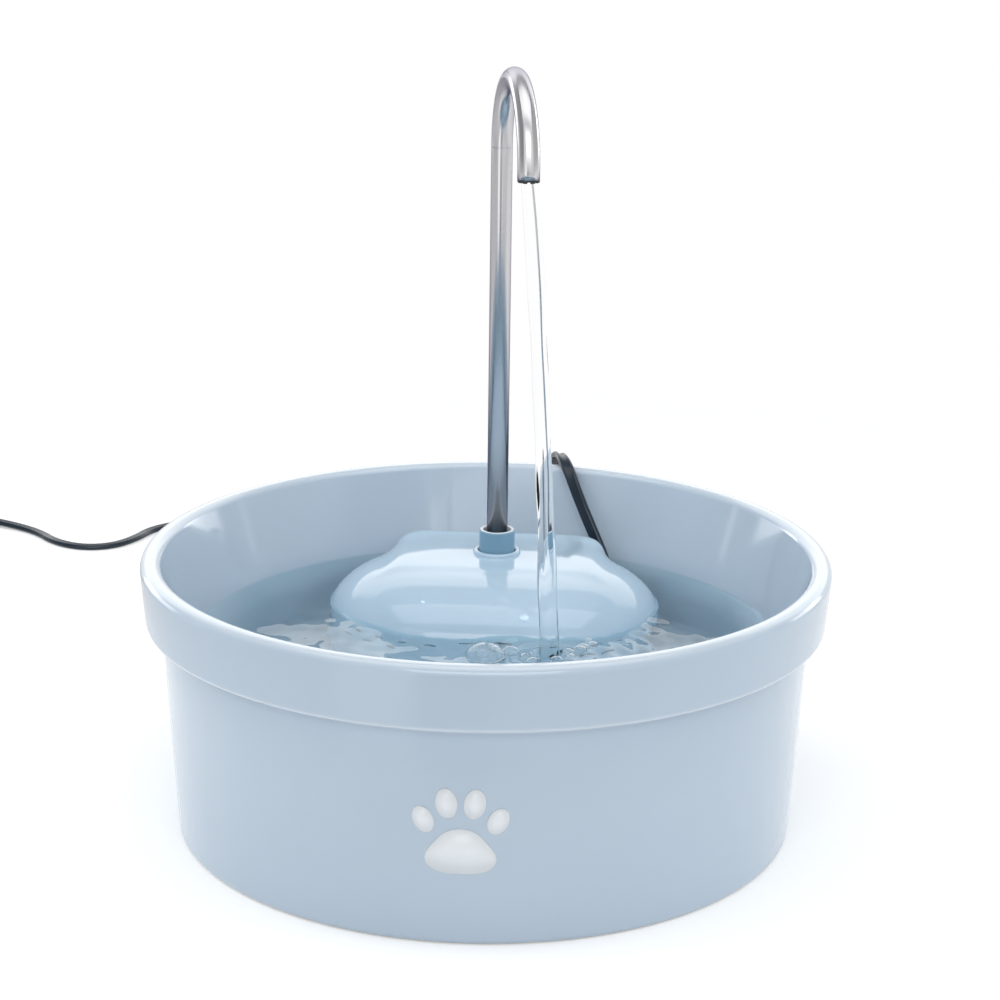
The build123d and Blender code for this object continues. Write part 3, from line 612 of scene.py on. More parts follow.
def cover_skin():
    """The cover's outer skin, open at the bottom."""
    mesh = bmesh.new()
    bmesh.ops.create_cube(mesh, size=2)
    bmesh.ops.subdivide_edges(mesh, edges=mesh.edges, cuts=cover_cuts, use_grid_fill=True)
    low_faces = [face for face in mesh.faces if face.calc_center_median().z < -0.999]
    bmesh.ops.delete(mesh, geom=low_faces, context="FACES")
    for vertex in mesh.verts:
        vertex.co = on_cover((vertex.co * Vector(cover_aim)).normalized()) * MM
    sliced(mesh, (0, 0, cover_low.z * MM), clear_inner=True)
    bmesh.ops.recalc_face_normals(mesh, faces=mesh.faces)
    if sum(face.normal.z * face.calc_area() for face in mesh.faces) < 0:
        bmesh.ops.reverse_faces(mesh, faces=mesh.faces)
    return mesh


def heading(turn):
    """The level way at a turn from +X."""
    return Vector((math.cos(turn), math.sin(turn), 0))


def wall_point(angle, height):
    """A point of the skirt at a height, by its angle from +X, and the way out there."""
    out = heading(math.radians(angle))
    side = dome_half_straight if out.x >= 0 else -dome_half_straight
    return Vector((side, dome_y, height)) + out * lobe_radius, out


def cut_pin(mesh, spot, out, size, segments=24, straight=0.0, drop=0.0, length=6 * cover_wall):
    """Adds an oval pin that lies along out. straight draws its sides apart into a slot, and
    drop draws its lower half down."""
    made = bmesh.ops.create_cone(mesh, cap_ends=True, segments=segments, radius1=1, radius2=1,
                                 depth=1)["verts"]
    along = out.to_track_quat("Z", "Y").to_matrix()
    for vertex in made:
        across = vertex.co.x * size[0] / 2 + math.copysign(straight, vertex.co.x)
        up = vertex.co.y * size[1] / 2
        if up < 0.01:
            up -= drop
        vertex.co = (spot + along @ Vector((across, up, vertex.co.z * length))) * MM


def cover_cutters():
    """Everything that is cut through the cover's wall, as one mesh of separate pins."""
    mesh = bmesh.new()
    for row, height in enumerate(inlet_rows):
        for angle in inlet_angles[:3 + row]:
            turn = angle + row * (inlet_angles[1] - inlet_angles[0]) / 2
            for side in (turn, 180 - turn):
                cut_pin(mesh, *wall_point(side, height), inlet_size)
    vent_wide, vent_tall = vent_size
    cut_pin(mesh, Vector((0, cover_low.y, vent_height)), Vector((0, -1, 0)),
            (vent_tall, vent_tall), straight=(vent_wide - vent_tall) / 2)
    cut_pin(mesh, *wall_point(cord_slot_angle, cord_slot_top - cord_slot_width / 2),
            (cord_slot_width, cord_slot_width), 32, drop=cord_slot_top - cover_low.z + 4,
            length=8 * cover_wall)
    bmesh.ops.create_cone(mesh, cap_ends=True, segments=64, radius1=hole_radius * MM,
                          radius2=hole_radius * MM, depth=12 * MM,
                          matrix=Matrix.Translation((0, outlet_y * MM, cover_top * MM)))
    bmesh.ops.recalc_face_normals(mesh, faces=mesh.faces)
    return mesh


def settled(thing):
    """The object's mesh with its modifiers applied."""
    graph = bpy.context.evaluated_depsgraph_get()
    return bpy.data.meshes.new_from_object(thing.evaluated_get(graph))


def make_cover():
    shell = new_object("shell_blank", as_data("shell_blank", cover_skin()))
    cutter = new_object("shell_cutter", as_data("shell_cutter", cover_cutters()))
    thicken(shell, cover_wall).use_even_offset = True
    cut = shell.modifiers.new("cut", "BOOLEAN")
    cut.operation = "DIFFERENCE"
    cut.solver = "EXACT"
    cut.object = cutter
    mesh = bmesh.new()
    mesh.from_mesh(settled(shell))
    foot = lip_radius + 0.9
    lip = turned([(lip_bore, cover_top - cover_wall, 0.2), (lip_bore, cover_top + lip_height, 0.9),
                  (lip_radius, cover_top + lip_height, 0.95), (lip_radius, cover_top + 0.35, 0.7),
                  (foot, cover_top + 0.1, 0.1), (foot, cover_top - cover_wall, 0.2)],
                 steps=96, centre=(0, outlet_y * MM), ring=True)
    mesh.from_mesh(as_data("lip_blank", lip))
    for helper in (shell, cutter):
        bpy.data.objects.remove(helper)
    plastic = finish("cover_plastic", cover_colour, drift=0.02, drift_size=18, roughness=0.09,
                     spread=0.05, grain=0.02, grain_size=500, IOR=1.49, Coat_Weight=0.25,
                     Coat_Roughness=0.03)[0]
    cover = piece("cover_shell", mesh, plastic, "cover", ["pump_cover"])
    cover.data.set_sharp_from_angle(angle=math.radians(38))


make_cover()


# ------------------------------------------------------------------ collar
# A teal silicone sleeve on the pump's outlet. It stands out of the cover and grips the spout;
# its pale mouth is dished so that the steel tube can be pushed in by hand.
collar_radius = 6.8
collar_round = 0.8
mouth_radius = 5.2
mouth_depth = 2.6
tube_radius = 4.0
tube_grip = 0.15
tube_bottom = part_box("spout_tube")[0].z / MM
nozzle_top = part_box("outlet_nozzle")[1].z / MM
nozzle_bore = 6.2
collar_ledge = 3.2
collar_colour = linear(122, 160, 184)
mouth_colour = linear(225, 232, 238)


def make_collar():
    mouth_floor = collar_high.z - mouth_depth
    mesh = turned([
        (nozzle_bore, collar_low.z, 0.2), (collar_radius, collar_low.z, 0.4),
        (collar_radius, collar_high.z, collar_round), (mouth_radius, collar_high.z, 0.5),
        (mouth_radius, mouth_floor, 0.3), (tube_radius + tube_grip, mouth_floor, 0.2),
        (tube_radius + tube_grip, tube_bottom - tube_grip, 0), (collar_ledge, tube_bottom - 0.2, 0),
        (collar_ledge, nozzle_top + 0.5, 0), (nozzle_bore, nozzle_top + 0.5, 0),
    ], steps=96, centre=(0, outlet_y * MM), ring=True)
    material, shader, surface = finish(
        "collar_silicone", collar_colour, drift=0.03, roughness=0.34, spread=0.1, grain=0.05)
    tree = material.node_tree
    height, radius = height_and_radius(tree, outlet_y * MM)
    inner = math_node(tree, "LESS_THAN", radius, (collar_radius - 0.35) * MM)
    pale = times(tree, inner, math_node(tree, "GREATER_THAN", height, (mouth_floor + 0.3) * MM))
    feed(tree, shader, {"Base Color": mix_colour(tree, pale, surface.outputs["Colour"], mouth_colour)})
    piece("collar_sleeve", mesh, material, "collar", ["collar"])


make_collar()


# ------------------------------------------------------------------ spout
# Thin 8 mm stainless tube, polished and bent through half a turn. The bend is a separate
# pressing, butted to the riser with a hairline joint, and a rubber end ring is pushed in it.
spout_turn = math.radians(13.4)
spout_heading = Vector((math.sin(spout_turn), -math.cos(spout_turn), 0))
spout_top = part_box("spout_tube")[1].z / MM
bend_radius = 28.4
bend_z = spout_top - bend_radius - tube_radius
outlet_straight = 3.0
tube_wall = 0.6
joint_gap = 0.25
joint_depth = 0.12
steel_colour = (0.65, 0.64, 0.66, 1.0)
steel_edge = (0.42, 0.42, 0.48, 1.0)
outlet = Vector((0, outlet_y, 0)) + spout_heading * 2 * bend_radius
tip_z = bend_z - outlet_straight


def raise_ring(mesh, ring, rise, scale=1.0, centre=(0, 0)):
    """Extrudes a ring of edges by rise and scales it about an upright axis."""
    grown = bmesh.ops.extrude_edge_only(mesh, edges=ring)["geom"]
    for vertex in grown:
        if isinstance(vertex, bmesh.types.BMVert):
            vertex.co.x = centre[0] + (vertex.co.x - centre[0]) * scale
            vertex.co.y = centre[1] + (vertex.co.y - centre[1]) * scale
            vertex.co.z += rise
    return [part for part in grown if isinstance(part, bmesh.types.BMEdge) and part.is_boundary]


def make_tube(material):
    mesh = bmesh.new()
    centre = (0, outlet_y * MM)
    made = bmesh.ops.create_circle(mesh, segments=64, radius=tube_radius * MM,
                                   matrix=Matrix.Translation((*centre, tube_bottom * MM)))
    ring = list({edge for vertex in made["verts"] for edge in vertex.link_edges})
    straight = bend_z - joint_gap - tube_bottom
    narrow = 1 - joint_depth / tube_radius
    for rise, scale in ((straight, 1), (0.06, narrow), (joint_gap - 0.12, 1), (0.06, 1 / narrow)):
        ring = raise_ring(mesh, ring, rise * MM, scale, centre)
    corners = list({vertex for edge in ring for vertex in edge.verts})
    middle = (Vector((0, outlet_y, bend_z)) + spout_heading * bend_radius) * MM
    bent = bmesh.ops.spin(mesh, geom=corners + ring, cent=middle, angle=math.pi, steps=72,
                          axis=Vector((0, 0, 1)).cross(spout_heading), use_duplicate=False)
    ring = [part for part in bent["geom_last"] if isinstance(part, bmesh.types.BMEdge)]
    raise_ring(mesh, ring, -outlet_straight * MM)
    bmesh.ops.recalc_face_normals(mesh, faces=mesh.faces)
    low = min(mesh.faces, key=lambda face: face.calc_center_median().z)
    side = low.calc_center_median() - Vector((0, outlet_y * MM, 0))
    if low.normal.dot(Vector((side.x, side.y, 0))) < 0:
        bmesh.ops.reverse_faces(mesh, faces=mesh.faces)
    tube = piece("spout_pipe", mesh, material, "spout", ["spout_tube"])
    thicken(tube, tube_wall)
    tube.data.set_sharp_from_angle(angle=math.radians(40))
    unwrap_tube(tube.data)


def unwrap_tube(data):
    """Lays the tube out flat: round it across the map, along it up the map."""
    layout = data.uv_layers.new(name="along_tube")
    middle = Vector((0, outlet_y, bend_z)) + spout_heading * bend_radius
    for corner in data.loops:
        place = data.vertices[corner.vertex_index].co / MM
        away = place - middle
        turn = math.atan2(max(away.z, 0), -away.dot(spout_heading))
        ring_out = (-spout_heading * math.cos(turn) + Vector((0, 0, math.sin(turn))))
        core = middle + ring_out * bend_radius
        if away.z < 0:
            core.z = place.z
        side = spout_heading.cross(Vector((0, 0, 1)))
        off = place - core
        around = math.atan2(off.dot(side), off.dot(ring_out)) / math.tau
        layout.data[corner.index].uv = (around, (turn * bend_radius + min(away.z, 0)) / 100)


def make_insert():
    """The rubber ring that shapes the stream, with eight small notches round its face."""
    insert_low, insert_high = (corner.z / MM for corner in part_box("outlet_insert"))
    fit = tube_radius - tube_wall
    mesh = turned([(2.6, insert_low, 0.25), (tube_radius, insert_low, 0.4),
                   (tube_radius, tip_z, 0.1), (fit, tip_z, 0), (fit, insert_high, 0.2),
                   (2.6, insert_high, 0.2)], steps=64, segments=3,
                  centre=(outlet.x * MM, outlet.y * MM), ring=True)
    for vertex in mesh.verts:
        away = vertex.co - outlet * MM
        share = (math.atan2(away.y, away.x) / math.tau * 8) % 1
        if vertex.co.z < (insert_low + 0.5) * MM and share < 0.3:
            vertex.co.z += 0.55 * MM
    rubber = finish("insert_rubber", linear(38, 41, 46), drift=0.05, roughness=0.55)[0]
    piece("outlet_ring", mesh, rubber, "spout", ["outlet_insert"])


def make_steel():
    """Drawn steel, whose grain runs along the tube and whose edges mirror less."""
    material, shader, _ = finish("spout_steel", steel_colour, drift=0.01, drift_size=60,
                                 roughness=0.2, spread=0.06, grain=0.02, grain_size=1500,
                                 Metallic=1.0, Specular_Tint=steel_edge, Anisotropic=0.85,
                                 Anisotropic_Rotation=0.25)
    tree = material.node_tree
    grain = add_node(tree, "Tangent", direction_type="UV_MAP", uv_map="along_tube")
    feed(tree, shader, {"Tangent": grain.outputs["Tangent"]})
    return material


make_tube(make_steel())
make_insert()


# ------------------------------------------------------------------ water
# The bowl is filled to a third below its rim. The stream falls from the spout in one clear
# rope, and rings, bubbles and a dimple spread from where it lands.
water_level = 69.6
water_sink = 0.2             # the water's skin lies this far inside the glaze
water_index = 1.333
shore_radius = 107.1
pool_rings = 105
meniscus = 0.3
meniscus_reach = 0.9
calm_width = 8.0             # over this width the ripples die away towards the wall
landing = Vector((24.5, -20.0, water_level))
ripple_length = 7.5
ripple_height = 0.42
ripple_reach = 30.0
chop_height = 1.1
chop_reach = 70
swell_height = 1.5
dimple_depth = 1.6
dimple_radius = 3.2
dimple_rim = (1.3, 6.0, 2.2)     # height, radius and width of the rim round the dimple
gravity = 9.81
stream_start = Vector((outlet.x, outlet.y, tip_z + 1.5))
stream_speed = 0.8           # metres a second down out of the spout
stream_tail = 30.0
stream_taper = 16.0          # how soon it thins out in the water
stream_thinnest = 0.45
stream_corners = 40
stream_widths = ((0.0, 2.55), (0.03, 2.9), (0.12, 3.1), (0.3, 2.9), (0.55, 3.2), (0.8, 3.1),
                 (0.97, 3.2), (1.0, 3.5))
bubbles = ((1.5, -21.0, 7.4), (10.3, -16.8, 3.6), (4.6, -13.0, 2.2), (35.0, -11.7, 2.8),
           (39.4, -5.6, 2.2), (37.8, -1.5, 1.8), (31.0, -14.2, 2.2), (36.0, -9.0, 2.6),
           (27.2, -23.4, 2.5), (19.0, -26.0, 2.6), (15.8, -20.5, 2.0), (32.0, -18.8, 1.7))
bubble_wall = 0.3
bubble_squash = 0.72
droplets = ((13.9, 4.0, 1.9), (-24.0, 9.0, 0.8))
droplet_squash = 0.55
water_tint = (0.70, 0.86, 0.86, 1.0)
stream_tint = (0.99, 0.995, 1.0, 1.0)
# painted shade that the falling water and the droplets take where they are seen edge on
stream_edge_shade = (0.62, 0.67, 0.72, 1.0)
# painted shade that the bubble films take where they are seen edge on, as dark outlines
bubble_edge_shade = (0.02, 0.05, 0.08, 1.0)


def make_clear(name, tint, edge=None):
    """Clear water that lets the lamps through to what lies under it. A thin body of it can
    be painted darker where it is seen edge on, as shade for the dark things it would show there."""
    material, tree = blank_material(name)
    shader = add_node(tree, "BsdfPrincipled", {
        "Base Color": tint, "Roughness": 0.0, "IOR": water_index, "Transmission Weight": 1.0,
        "Specular IOR Level": 1.0})
    # painted shade: seen edge on, the water's colour turns darker, standing in for what it would show
    if edge:
        facing = add_node(tree, "LayerWeight", {"Blend": 0.5}).outputs["Facing"]
        share = smooth_step(tree, facing, 0.62, 1.0)
        feed(tree, shader, {"Base Color": mix_colour(tree, share, tint, edge)})
    shadow = add_node(tree, "LightPath").outputs["Is Shadow Ray"]
    clear = add_node(tree, "BsdfTransparent", {"Color": white})
    both = add_node(tree, "MixShader", {"Fac": shadow, 1: shader.outputs[0], 2: clear.outputs[0]})
    add_node(tree, "OutputMaterial", {"Surface": both.outputs[0]})
    return material


def eased(share):
    """A share held between 0 and 1 that starts and ends softly."""
    share = min(max(share, 0), 1)
    return share * share * (3 - 2 * share)


def blended(table, share):
    """Value between the marks of a table of (share, value) pairs."""
    for (low, first), (high, second) in zip(table, table[1:]):
        if share <= high:
            return first + (second - first) * eased((share - low) / (high - low))
    return table[-1][1]


def ringed(rings, corners, place_at):
    """A closed tube through the points that place_at gives for each ring and corner."""
    mesh = bmesh.new()
    bmesh.ops.create_grid(mesh, x_segments=rings - 1, y_segments=corners, size=1)
    for vertex in mesh.verts:
        ring = round((vertex.co.x + 1) / 2 * (rings - 1))
        corner = round((vertex.co.y + 1) / 2 * corners) % corners
        vertex.co = place_at(ring, corner)
    bmesh.ops.remove_doubles(mesh, verts=mesh.verts, dist=0.001 * MM)
    ends = [edge for edge in mesh.edges if edge.is_boundary]
    bmesh.ops.holes_fill(mesh, edges=ends, sides=0)
    bmesh.ops.recalc_face_normals(mesh, faces=mesh.faces)
    return mesh


def ripple(place):
    """Height of the water over its level at a place, in millimetres."""
    def uneven(layer, scale):
        return noise.noise(Vector((place.x, place.y, layer)) * scale)

    away = math.hypot(place.x - landing.x, place.y - landing.y)
    rings = math.cos(math.tau * away / ripple_length) * ripple_height * math.exp(-away / ripple_reach)
    chop = (uneven(0, 0.075) + uneven(7, 0.17) * 0.3) * chop_height * math.exp(-away / chop_reach)
    dimple = -dimple_depth * math.exp(-(away / dimple_radius) ** 2)
    height, radius, width = dimple_rim
    dimple += height * math.exp(-((away - radius) / width) ** 2)
    return rings + chop + dimple + uneven(3, 0.03) * swell_height


def make_pool(material):
    """The water in the bowl: the bowl's inside up to the level, under a rippled skin."""
    mesh = bmesh.new()
    outline(mesh, [(0, bowl_floor - water_sink, 0),
                   (floor_radius + water_sink, bowl_floor - water_sink, floor_round),
                   (waist_radius + water_sink, waist_height, waist_round),
                   (rim_radius - rim_thickness + water_sink, bowl_height, 0)], 8)
    sliced(mesh, (0, 0, water_level * MM), clear_outer=True)
    shore = max(mesh.verts, key=lambda vertex: vertex.co.z)
    middle = mesh.verts.new((0, 0, water_level * MM))
    across = mesh.edges.new((shore, middle))
    bmesh.ops.subdivide_edges(mesh, edges=[across], cuts=pool_rings)
    spun(mesh, 256)
    for vertex in mesh.verts:
        if vertex.co.z > (water_level - 0.01) * MM:
            place = vertex.co / MM
            inland = shore_radius - math.hypot(place.x, place.y)
            calm = min(max(inland / calm_width, 0.0), 1.0)
            creep = meniscus * math.exp(-max(inland, 0) / meniscus_reach)
            vertex.co.z += (ripple(place) * calm + creep) * MM
    piece("water_pool", mesh, material, "root")


def make_stream(material):
    """Rings along the fall of a jet, and a tail that stays in the water if it is raised."""
    fall = stream_start.z - landing.z

    def fall_time(drop):
        return math.sqrt(stream_speed ** 2 + 2 * gravity * max(drop, 0) * MM) - stream_speed

    def place_at(drop, corner):
        centre = stream_start.lerp(landing, min(fall_time(drop) / fall_time(fall), 1.0))
        centre.z = stream_start.z - drop
        radius = blended(stream_widths, min(drop / fall, 1.0))
        if drop > fall:
            radius = max(stream_thinnest, radius * math.exp(-(drop - fall) / stream_taper))
        around = math.tau * corner / stream_corners
        grown = min(1, drop / 45)
        strands = min(max((drop - 70) / 50, 0), 1)
        wave = 1 + (0.07 + 0.06 * strands) * grown * math.sin(drop * 0.05 + 2 * around)
        wave += 0.05 * strands * math.sin(drop * 0.12 - 3 * around)
        wave += 0.022 * strands * math.sin(drop * 0.03 + 6 * around)
        swell = 1 + 0.04 * grown * math.sin(drop * 0.19)
        return (centre + heading(around) * radius * wave * swell) * MM

    mesh = ringed(math.ceil(fall + stream_tail) + 1, stream_corners, place_at)
    piece("water_stream", mesh, material, "spout")


def set_down(ball, squash, place):
    """Flattens a new ball and moves it to its place, given in millimetres."""
    for vertex in ball["verts"]:
        vertex.co.z *= squash
        vertex.co += place * MM


def make_bubbles(material):
    """Half-round films of water that float round the landing."""
    mesh = bmesh.new()
    for x, y, radius in bubbles:
        ball = bmesh.ops.create_uvsphere(mesh, u_segments=32, v_segments=16, radius=radius * MM)
        set_down(ball, bubble_squash, Vector((x, y, water_level - 0.1 * radius)))
    sliced(mesh, (0, 0, (water_level - 0.6) * MM), clear_inner=True)
    bmesh.ops.solidify(mesh, geom=mesh.faces[:], thickness=bubble_wall * MM)
    bmesh.ops.recalc_face_normals(mesh, faces=mesh.faces)
    piece("water_bubbles", mesh, material, "collar")


def make_droplets(material):
    """Beads of splashed water that cling to the dome."""
    mesh = bmesh.new()
    for x, y, radius in droplets:
        height = 40.0
        while cover_gap(Vector((x, y, height))) < 0:
            height += 0.05
        ball = bmesh.ops.create_icosphere(mesh, subdivisions=3, radius=radius * MM)
        set_down(ball, droplet_squash, Vector((x, y, height + 0.1)))
    piece("water_droplets", mesh, material, "cover")


stream_water = make_clear("water_falling", stream_tint, stream_edge_shade)
make_pool(make_clear("water_clear", water_tint))
make_stream(stream_water)
make_bubbles(make_clear("bubble_film", white, bubble_edge_shade))
make_droplets(stream_water)


# ------------------------------------------------------------------ cord
# 1.8 m of flat two-core lead, 4.8 by 2.6 mm, in limp black PVC. It leaves the gland, climbs
# the wall, hangs over the rim and lies on the table; the spare length is wound and tied.
cord_exit = (0.0220, 0.0713, 0.0220)
cord_rest = 0.00135          # height of the lead's middle where it lies on the table
cord_on_table = ((-0.0070, 0.1980), (-0.0260, 0.2380), (-0.0560, 0.2800), (-0.0940, 0.3180),
                 (-0.1360, 0.3460), (-0.1720, 0.3560), (-0.1930, 0.3410), (-0.1990, 0.3210),
                 (-0.2080, 0.3080), (-0.2220, 0.3045), (-0.2370, 0.3120), (-0.2490, 0.3275))
cord_run_points = [
    cord_exit, (0.0300, 0.0713, 0.0220), (0.0372, 0.0734, 0.0252), (0.0424, 0.0772, 0.0320),
    (0.0446, 0.0830, 0.0425), (0.0448, 0.0886, 0.0560), (0.0412, 0.0936, 0.0695),
    (0.0350, 0.0984, 0.0820), (0.0290, 0.1042, 0.0940), (0.0240, 0.1132, 0.1046),
    (0.0194, 0.1284, 0.1057), (0.0168, 0.1380, 0.0950), (0.0162, 0.1406, 0.0790),
    (0.0156, 0.1410, 0.0550), (0.0138, 0.1424, 0.0300), (0.0096, 0.1500, 0.0090),
    (0.0040, 0.1680, 0.0012), *((x, y, cord_rest) for x, y in cord_on_table),
    (-0.2670, 0.3380, 0.0020), (-0.2860, 0.3420, 0.0036), (-0.3030, 0.3402, 0.0050)]
cord_tail_points = [(-0.3544, 0.3020, 0.0062), (-0.3560, 0.2880, 0.0048),
                    (-0.3546, 0.2740, 0.0041), (-0.3500, 0.2580, 0.0041)]
coil_middle = Vector((-0.3200, 0.3110, 0))
coil_start = 60.0
coil_turns = 6.375
coil_columns = (32.6, 27.4, 22.4, 22.4, 27.4, 32.2, 33.6)
coil_layers = (4.1, 3.4, 3.4, 7.7, 8.3, 8.3, 7.6)
coil_step = 0.6              # share of a turn after which the lead moves to the next place
points_per_turn = 16
core_radius = 1.3
core_offset = 1.1
cord_corners = 26
groove = 0.42
rim_core_height = 96         # of the middle of the rim band, round which the lead bends
cord_flattens = (140, 190)   # between these distances from the axis it turns flat on the table


def coil_points():
    """Control points of the wound part: outer to inner turns, then back out on top of them."""
    points = []
    for step in range(1, round(coil_turns * points_per_turn)):
        turns = step / points_per_turn
        place = min(int(turns), len(coil_columns) - 2)
        shift = eased((turns - place - coil_step) / (1 - coil_step))
        radius, height = (marks[place] + (marks[place + 1] - marks[place]) * shift
                          for marks in (coil_columns, coil_layers))
        out = heading(math.radians(coil_start) + math.tau * turns)
        points.append(coil_middle + out * radius * MM + Vector((0, 0, height * MM)))
    return points


def spline_points(points):
    """Points along the smooth line that a limp cord takes between control points."""
    curve = bpy.data.curves.new("cord_line", "CURVE")
    curve.dimensions = "3D"
    curve.resolution_u = 10
    line = curve.splines.new("NURBS")
    line.points.add(len(points) - 1)
    for point, place in zip(line.points, points):
        point.co = (*place, 1)
    line.order_u = 3
    line.use_endpoint_u = True
    carrier = new_object("cord_line", curve)
    mesh = settled(carrier)
    places = [vertex.co.copy() for vertex in mesh.vertices]
    bpy.data.objects.remove(carrier)
    bpy.data.meshes.remove(mesh)
    return places


def thin_way(place):
    """Which way the flat lead's thin side faces: off the wall, over the rim, up on the table."""
    flat = Vector((place.x, place.y, 0)) / MM
    above = max(place.z / MM - rim_core_height, 0)
    off_wall = flat.normalized() * (flat.length - rim_radius + rim_thickness / 2)
    start, end = cord_flattens
    share = eased((flat.length - start) / (end - start))
    return (off_wall + Vector((0, 0, above))).normalized().lerp(Vector((0, 0, 1)), share)


def cord_profile():
    """Points round the flat lead, across it and through it: two round cores with a groove
    along the middle of each face."""
    points = []
    for corner in range(cord_corners):
        turn = math.tau * corner / cord_corners
        across, thick = -core_radius * math.sin(turn), core_radius * math.cos(turn)
        if abs(across) < 0.05:
            points.append((0.0, thick * groove * MM))
        else:
            points.append(((across + math.copysign(core_offset, across)) * MM, thick * MM))
    return points


def make_cord():
    places = spline_points([Vector(point) for point in cord_run_points] + coil_points()
                           + [Vector(point) for point in cord_tail_points])
    profile = cord_profile()
    frames = []
    for before, place, after in zip(places[:1] + places, places, places[1:] + places[-1:]):
        along = (after - before).normalized()
        thin = thin_way(place)
        thin = (thin - along * thin.dot(along)).normalized()
        frames.append((place, along.cross(thin), thin))

    def place_at(ring, corner):
        place, side, thin = frames[ring]
        across, thick = profile[corner]
        return place + side * across + thin * thick

    mesh = ringed(len(places), cord_corners, place_at)
    pvc = finish("cord_pvc", linear(22, 38, 52), drift=0.05, roughness=0.27, spread=0.1,
                 grain=0.1, grain_size=700)[0]
    cord = piece("power_lead", mesh, pvc, "root",
                 ["cord_run", "cord_coil", "cord_tail"])
    cord.data.set_sharp_from_angle(angle=math.radians(60))


make_cord()


# ------------------------------------------------------------------ tie and plug
# The releasable tie round the coil, and the USB plug moulded on the lead's end. Their CAD
# shapes are right as they are, and so are the pump's: each gets a material and nothing else.
def dress(made, *names):
    """Puts a finish on CAD pieces."""
    for name in names:
        for place in nodes[name].material_slots:
            place.material = made[0]


dress(finish("tie_plastic", linear(226, 227, 224), roughness=0.42), "cord_tie")
dress(finish("plug_plastic", linear(30, 34, 40), roughness=0.38, grain=0.15), "usb_overmould")
dress(finish("plug_steel", (0.60, 0.61, 0.63, 1), roughness=0.28, Metallic=1.0), "usb_shell")
dress(finish("plug_insulator", linear(225, 228, 232), roughness=0.4), "usb_tongue")


# ------------------------------------------------------------------ pump
# Small sealed mains-free pump: two moulded halves, a wound stator, a magnet rotor on a ceramic
# pin, and the slotted front with its flow dial. It stands on four clear suction cups.
pump_names = ("pump_housing", "pump_back_cap", "chamber_cover", "intake_grille",
              "outlet_nozzle")
sheet_pitch = 0.5            # of the core's punched sheets
wire_pitch = 0.35            # of the winding's turns
line_depth = 0.8


def make_lines_group():
    """Fine parallel lines across one axis of a piece, as a mask and as a bumped normal."""
    group, given, out = new_group(
        "fine_lines",
        {"Pitch": "Float", "Depth": "Float", "Across": "Vector", "Normal": "Vector"},
        {"Mask": "Float", "Normal": "Vector"})
    place = add_node(group, "TexCoord").outputs["Object"]
    along = vector_node(group, "DOT_PRODUCT", place, given["Across"], output="Value")
    wave = math_node(group, "PINGPONG", math_node(group, "DIVIDE", along, given["Pitch"]), 0.5)
    mask = smooth_step(group, wave, 0.0, 0.5)
    bump = add_node(group, "Bump", {"Strength": given["Depth"], "Height": mask,
                                    "Distance": 0.1 * MM, "Normal": given["Normal"]})
    feed(group, out, {"Mask": mask, "Normal": bump.outputs["Normal"]})
    return group


lines_group = make_lines_group()


def lined(made, pitch, across, groove_shade):
    """Draws fine lines into a finish: grooves painted darker as their shade, and a bumped normal."""
    material, shader, surface = made
    tree = material.node_tree
    lines = add_node(tree, "Group", node_tree=lines_group)
    feed(tree, lines, {"Pitch": pitch * MM, "Depth": line_depth, "Across": across,
                       "Normal": surface.outputs["Normal"]})
    # painted shade: the grooves between the core's sheets and the winding's turns are drawn darker
    drawn = mix_colour(tree, lines.outputs["Mask"], groove_shade, surface.outputs["Colour"])
    feed(tree, shader, {"Normal": lines.outputs["Normal"], "Base Color": drawn})
    return made


dress(finish("pump_plastic", linear(52, 56, 62), drift=0.04, roughness=0.36, grain=0.18,
             grain_size=1200), *pump_names)
dress(lined(finish("core_steel", (0.42, 0.43, 0.45, 1), roughness=0.42, Metallic=1.0),
            sheet_pitch, (0, 1, 0), (0.12, 0.12, 0.13, 1)), "stator_core")
dress(finish("bobbin_nylon", linear(232, 230, 220), roughness=0.45), "coil_bobbin")
dress(lined(finish("copper_wire", (0.80, 0.40, 0.20, 1), roughness=0.3, Metallic=1.0),
            wire_pitch, (1, 0, 0), (0.22, 0.09, 0.04, 1)), "coil_winding")
dress(finish("circuit_board", linear(26, 92, 58), drift=0.2, drift_size=260, roughness=0.35),
      "driver_board")
dress(finish("shaft_ceramic", linear(235, 232, 226), roughness=0.2), "impeller_shaft")
dress(finish("black_rubber", linear(34, 35, 38), roughness=0.7, grain=0.25),
      "shaft_bushes", "chamber_seal", "cable_gland")
dress(finish("ferrite_magnet", linear(58, 57, 58), roughness=0.5, grain=0.3), "rotor_magnet")
dress(finish("impeller_plastic", linear(228, 232, 235), roughness=0.38), "impeller_wheel")
dress(finish("dial_plastic", linear(140, 146, 148), roughness=0.36), "flow_dial")
dress(finish("clear_rubber", linear(214, 226, 232), roughness=0.3, Transmission_Weight=0.35),
      "suction_cups")


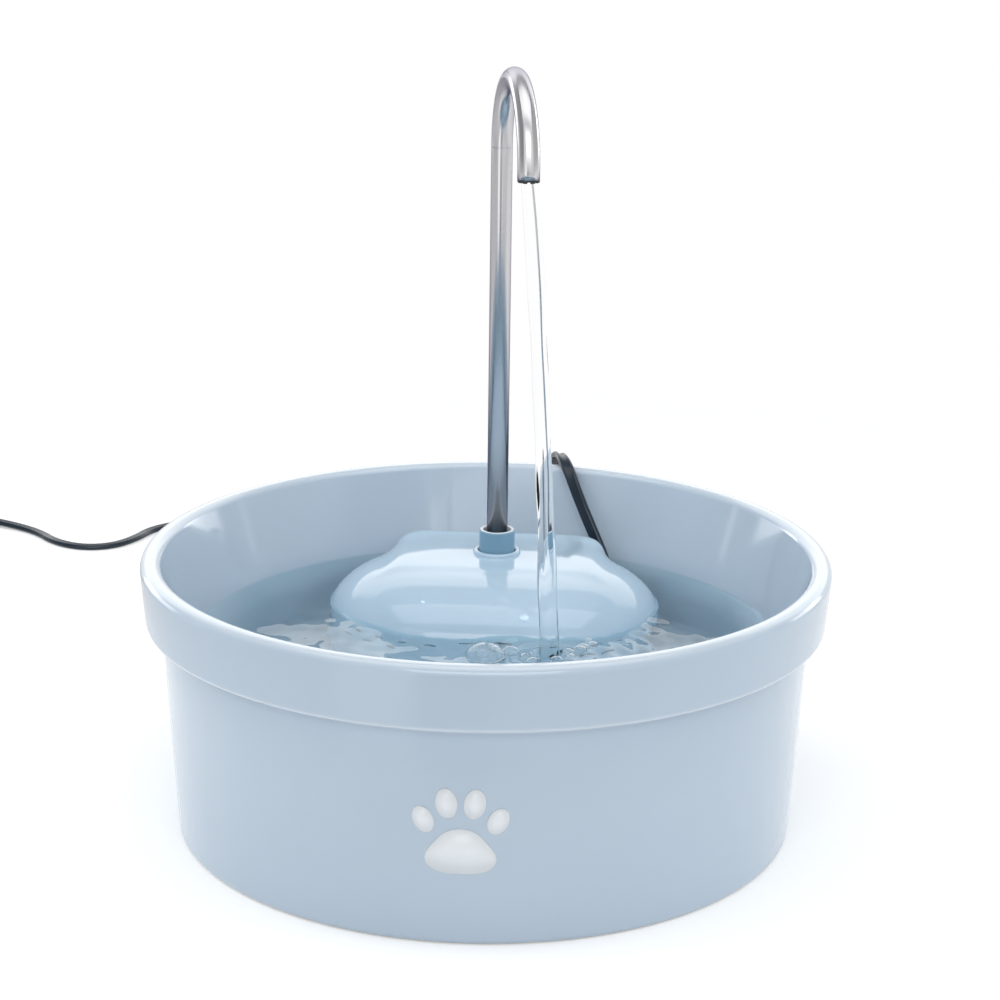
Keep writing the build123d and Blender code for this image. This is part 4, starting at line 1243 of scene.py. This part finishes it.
# ------------------------------------------------------------------ filter
# A slab of open-cell foam with a quilted carbon pack behind it, both pushed into a moulded
# holder whose CAD shape is right as it is.
foam_box = [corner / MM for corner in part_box("filter_foam")]
carbon_box = [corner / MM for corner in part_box("carbon_pack")]
foam_colour = linear(70, 78, 88)
foam_seed = 7                # draws the same pits each run
fleece_colour = linear(232, 234, 232)
quilt_size = (12.3, 13.3)    # between the seams, across and up
quilt_depth = 0.27


def soft_block(box, side_gap, front_gap, cuts, edge):
    """A block with rounded edges that fills a box but for small gaps, in millimetres."""
    mesh = bmesh.new()
    bmesh.ops.create_cube(mesh, size=1)
    bmesh.ops.subdivide_edges(mesh, edges=mesh.edges, cuts=cuts, use_grid_fill=True)
    low = box[0] + Vector((side_gap, front_gap, 0))
    high = box[1] - Vector((side_gap, front_gap, 0.3))
    middle, size = (low + high) / 2, high - low
    for vertex in mesh.verts:
        place = Vector([part * length for part, length in zip(vertex.co, size)])
        core = Vector([max(min(part, length / 2 - edge), edge - length / 2)
                       for part, length in zip(place, size)])
        if (place - core).length > edge:
            place = core + (place - core).normalized() * edge
        vertex.co = (middle + place) * MM
    return mesh


def make_foam():
    mesh = soft_block(foam_box, 0.2, 0.2, 40, 1.2)
    noise.seed_set(foam_seed)
    for vertex in mesh.verts:
        vertex.co += noise.noise_vector(vertex.co * 900) * 0.25 * MM
    material = finish("filter_foam", foam_colour, drift=0.1, drift_size=60, roughness=0.9,
                      spread=0.05, grain=0.5, grain_size=1600)[0]
    foam = piece("foam_slab", mesh, material, "cover", ["filter_foam"])


def make_carbon():
    """Carbon granules in white fleece, stitched in a grid of soft squares."""
    mesh = soft_block(carbon_box, 0.2, 0.3, 60, 1.8)
    corner = carbon_box[0]
    middle = (corner.y + carbon_box[1].y) / 2
    for vertex in mesh.verts:
        place = vertex.co / MM
        wave = abs(math.sin(math.pi * (place.x - corner.x) / quilt_size[0]))
        tier = abs(math.sin(math.pi * (place.z - corner.z) / quilt_size[1]))
        dip = (1 - min(wave, tier) ** 0.5) * quilt_depth
        vertex.co.y -= (place.y - middle) * dip * MM
    material = finish("carbon_fleece", fleece_colour, drift=0.04, roughness=0.85, spread=0.05,
                      grain=0.4, grain_size=2200)[0]
    pack = piece("carbon_pad", mesh, material, "cover", ["carbon_pack"])


dress(finish("holder_plastic", linear(226, 234, 240), roughness=0.35, grain=0.12),
      "filter_holder")
make_foam()
make_carbon()
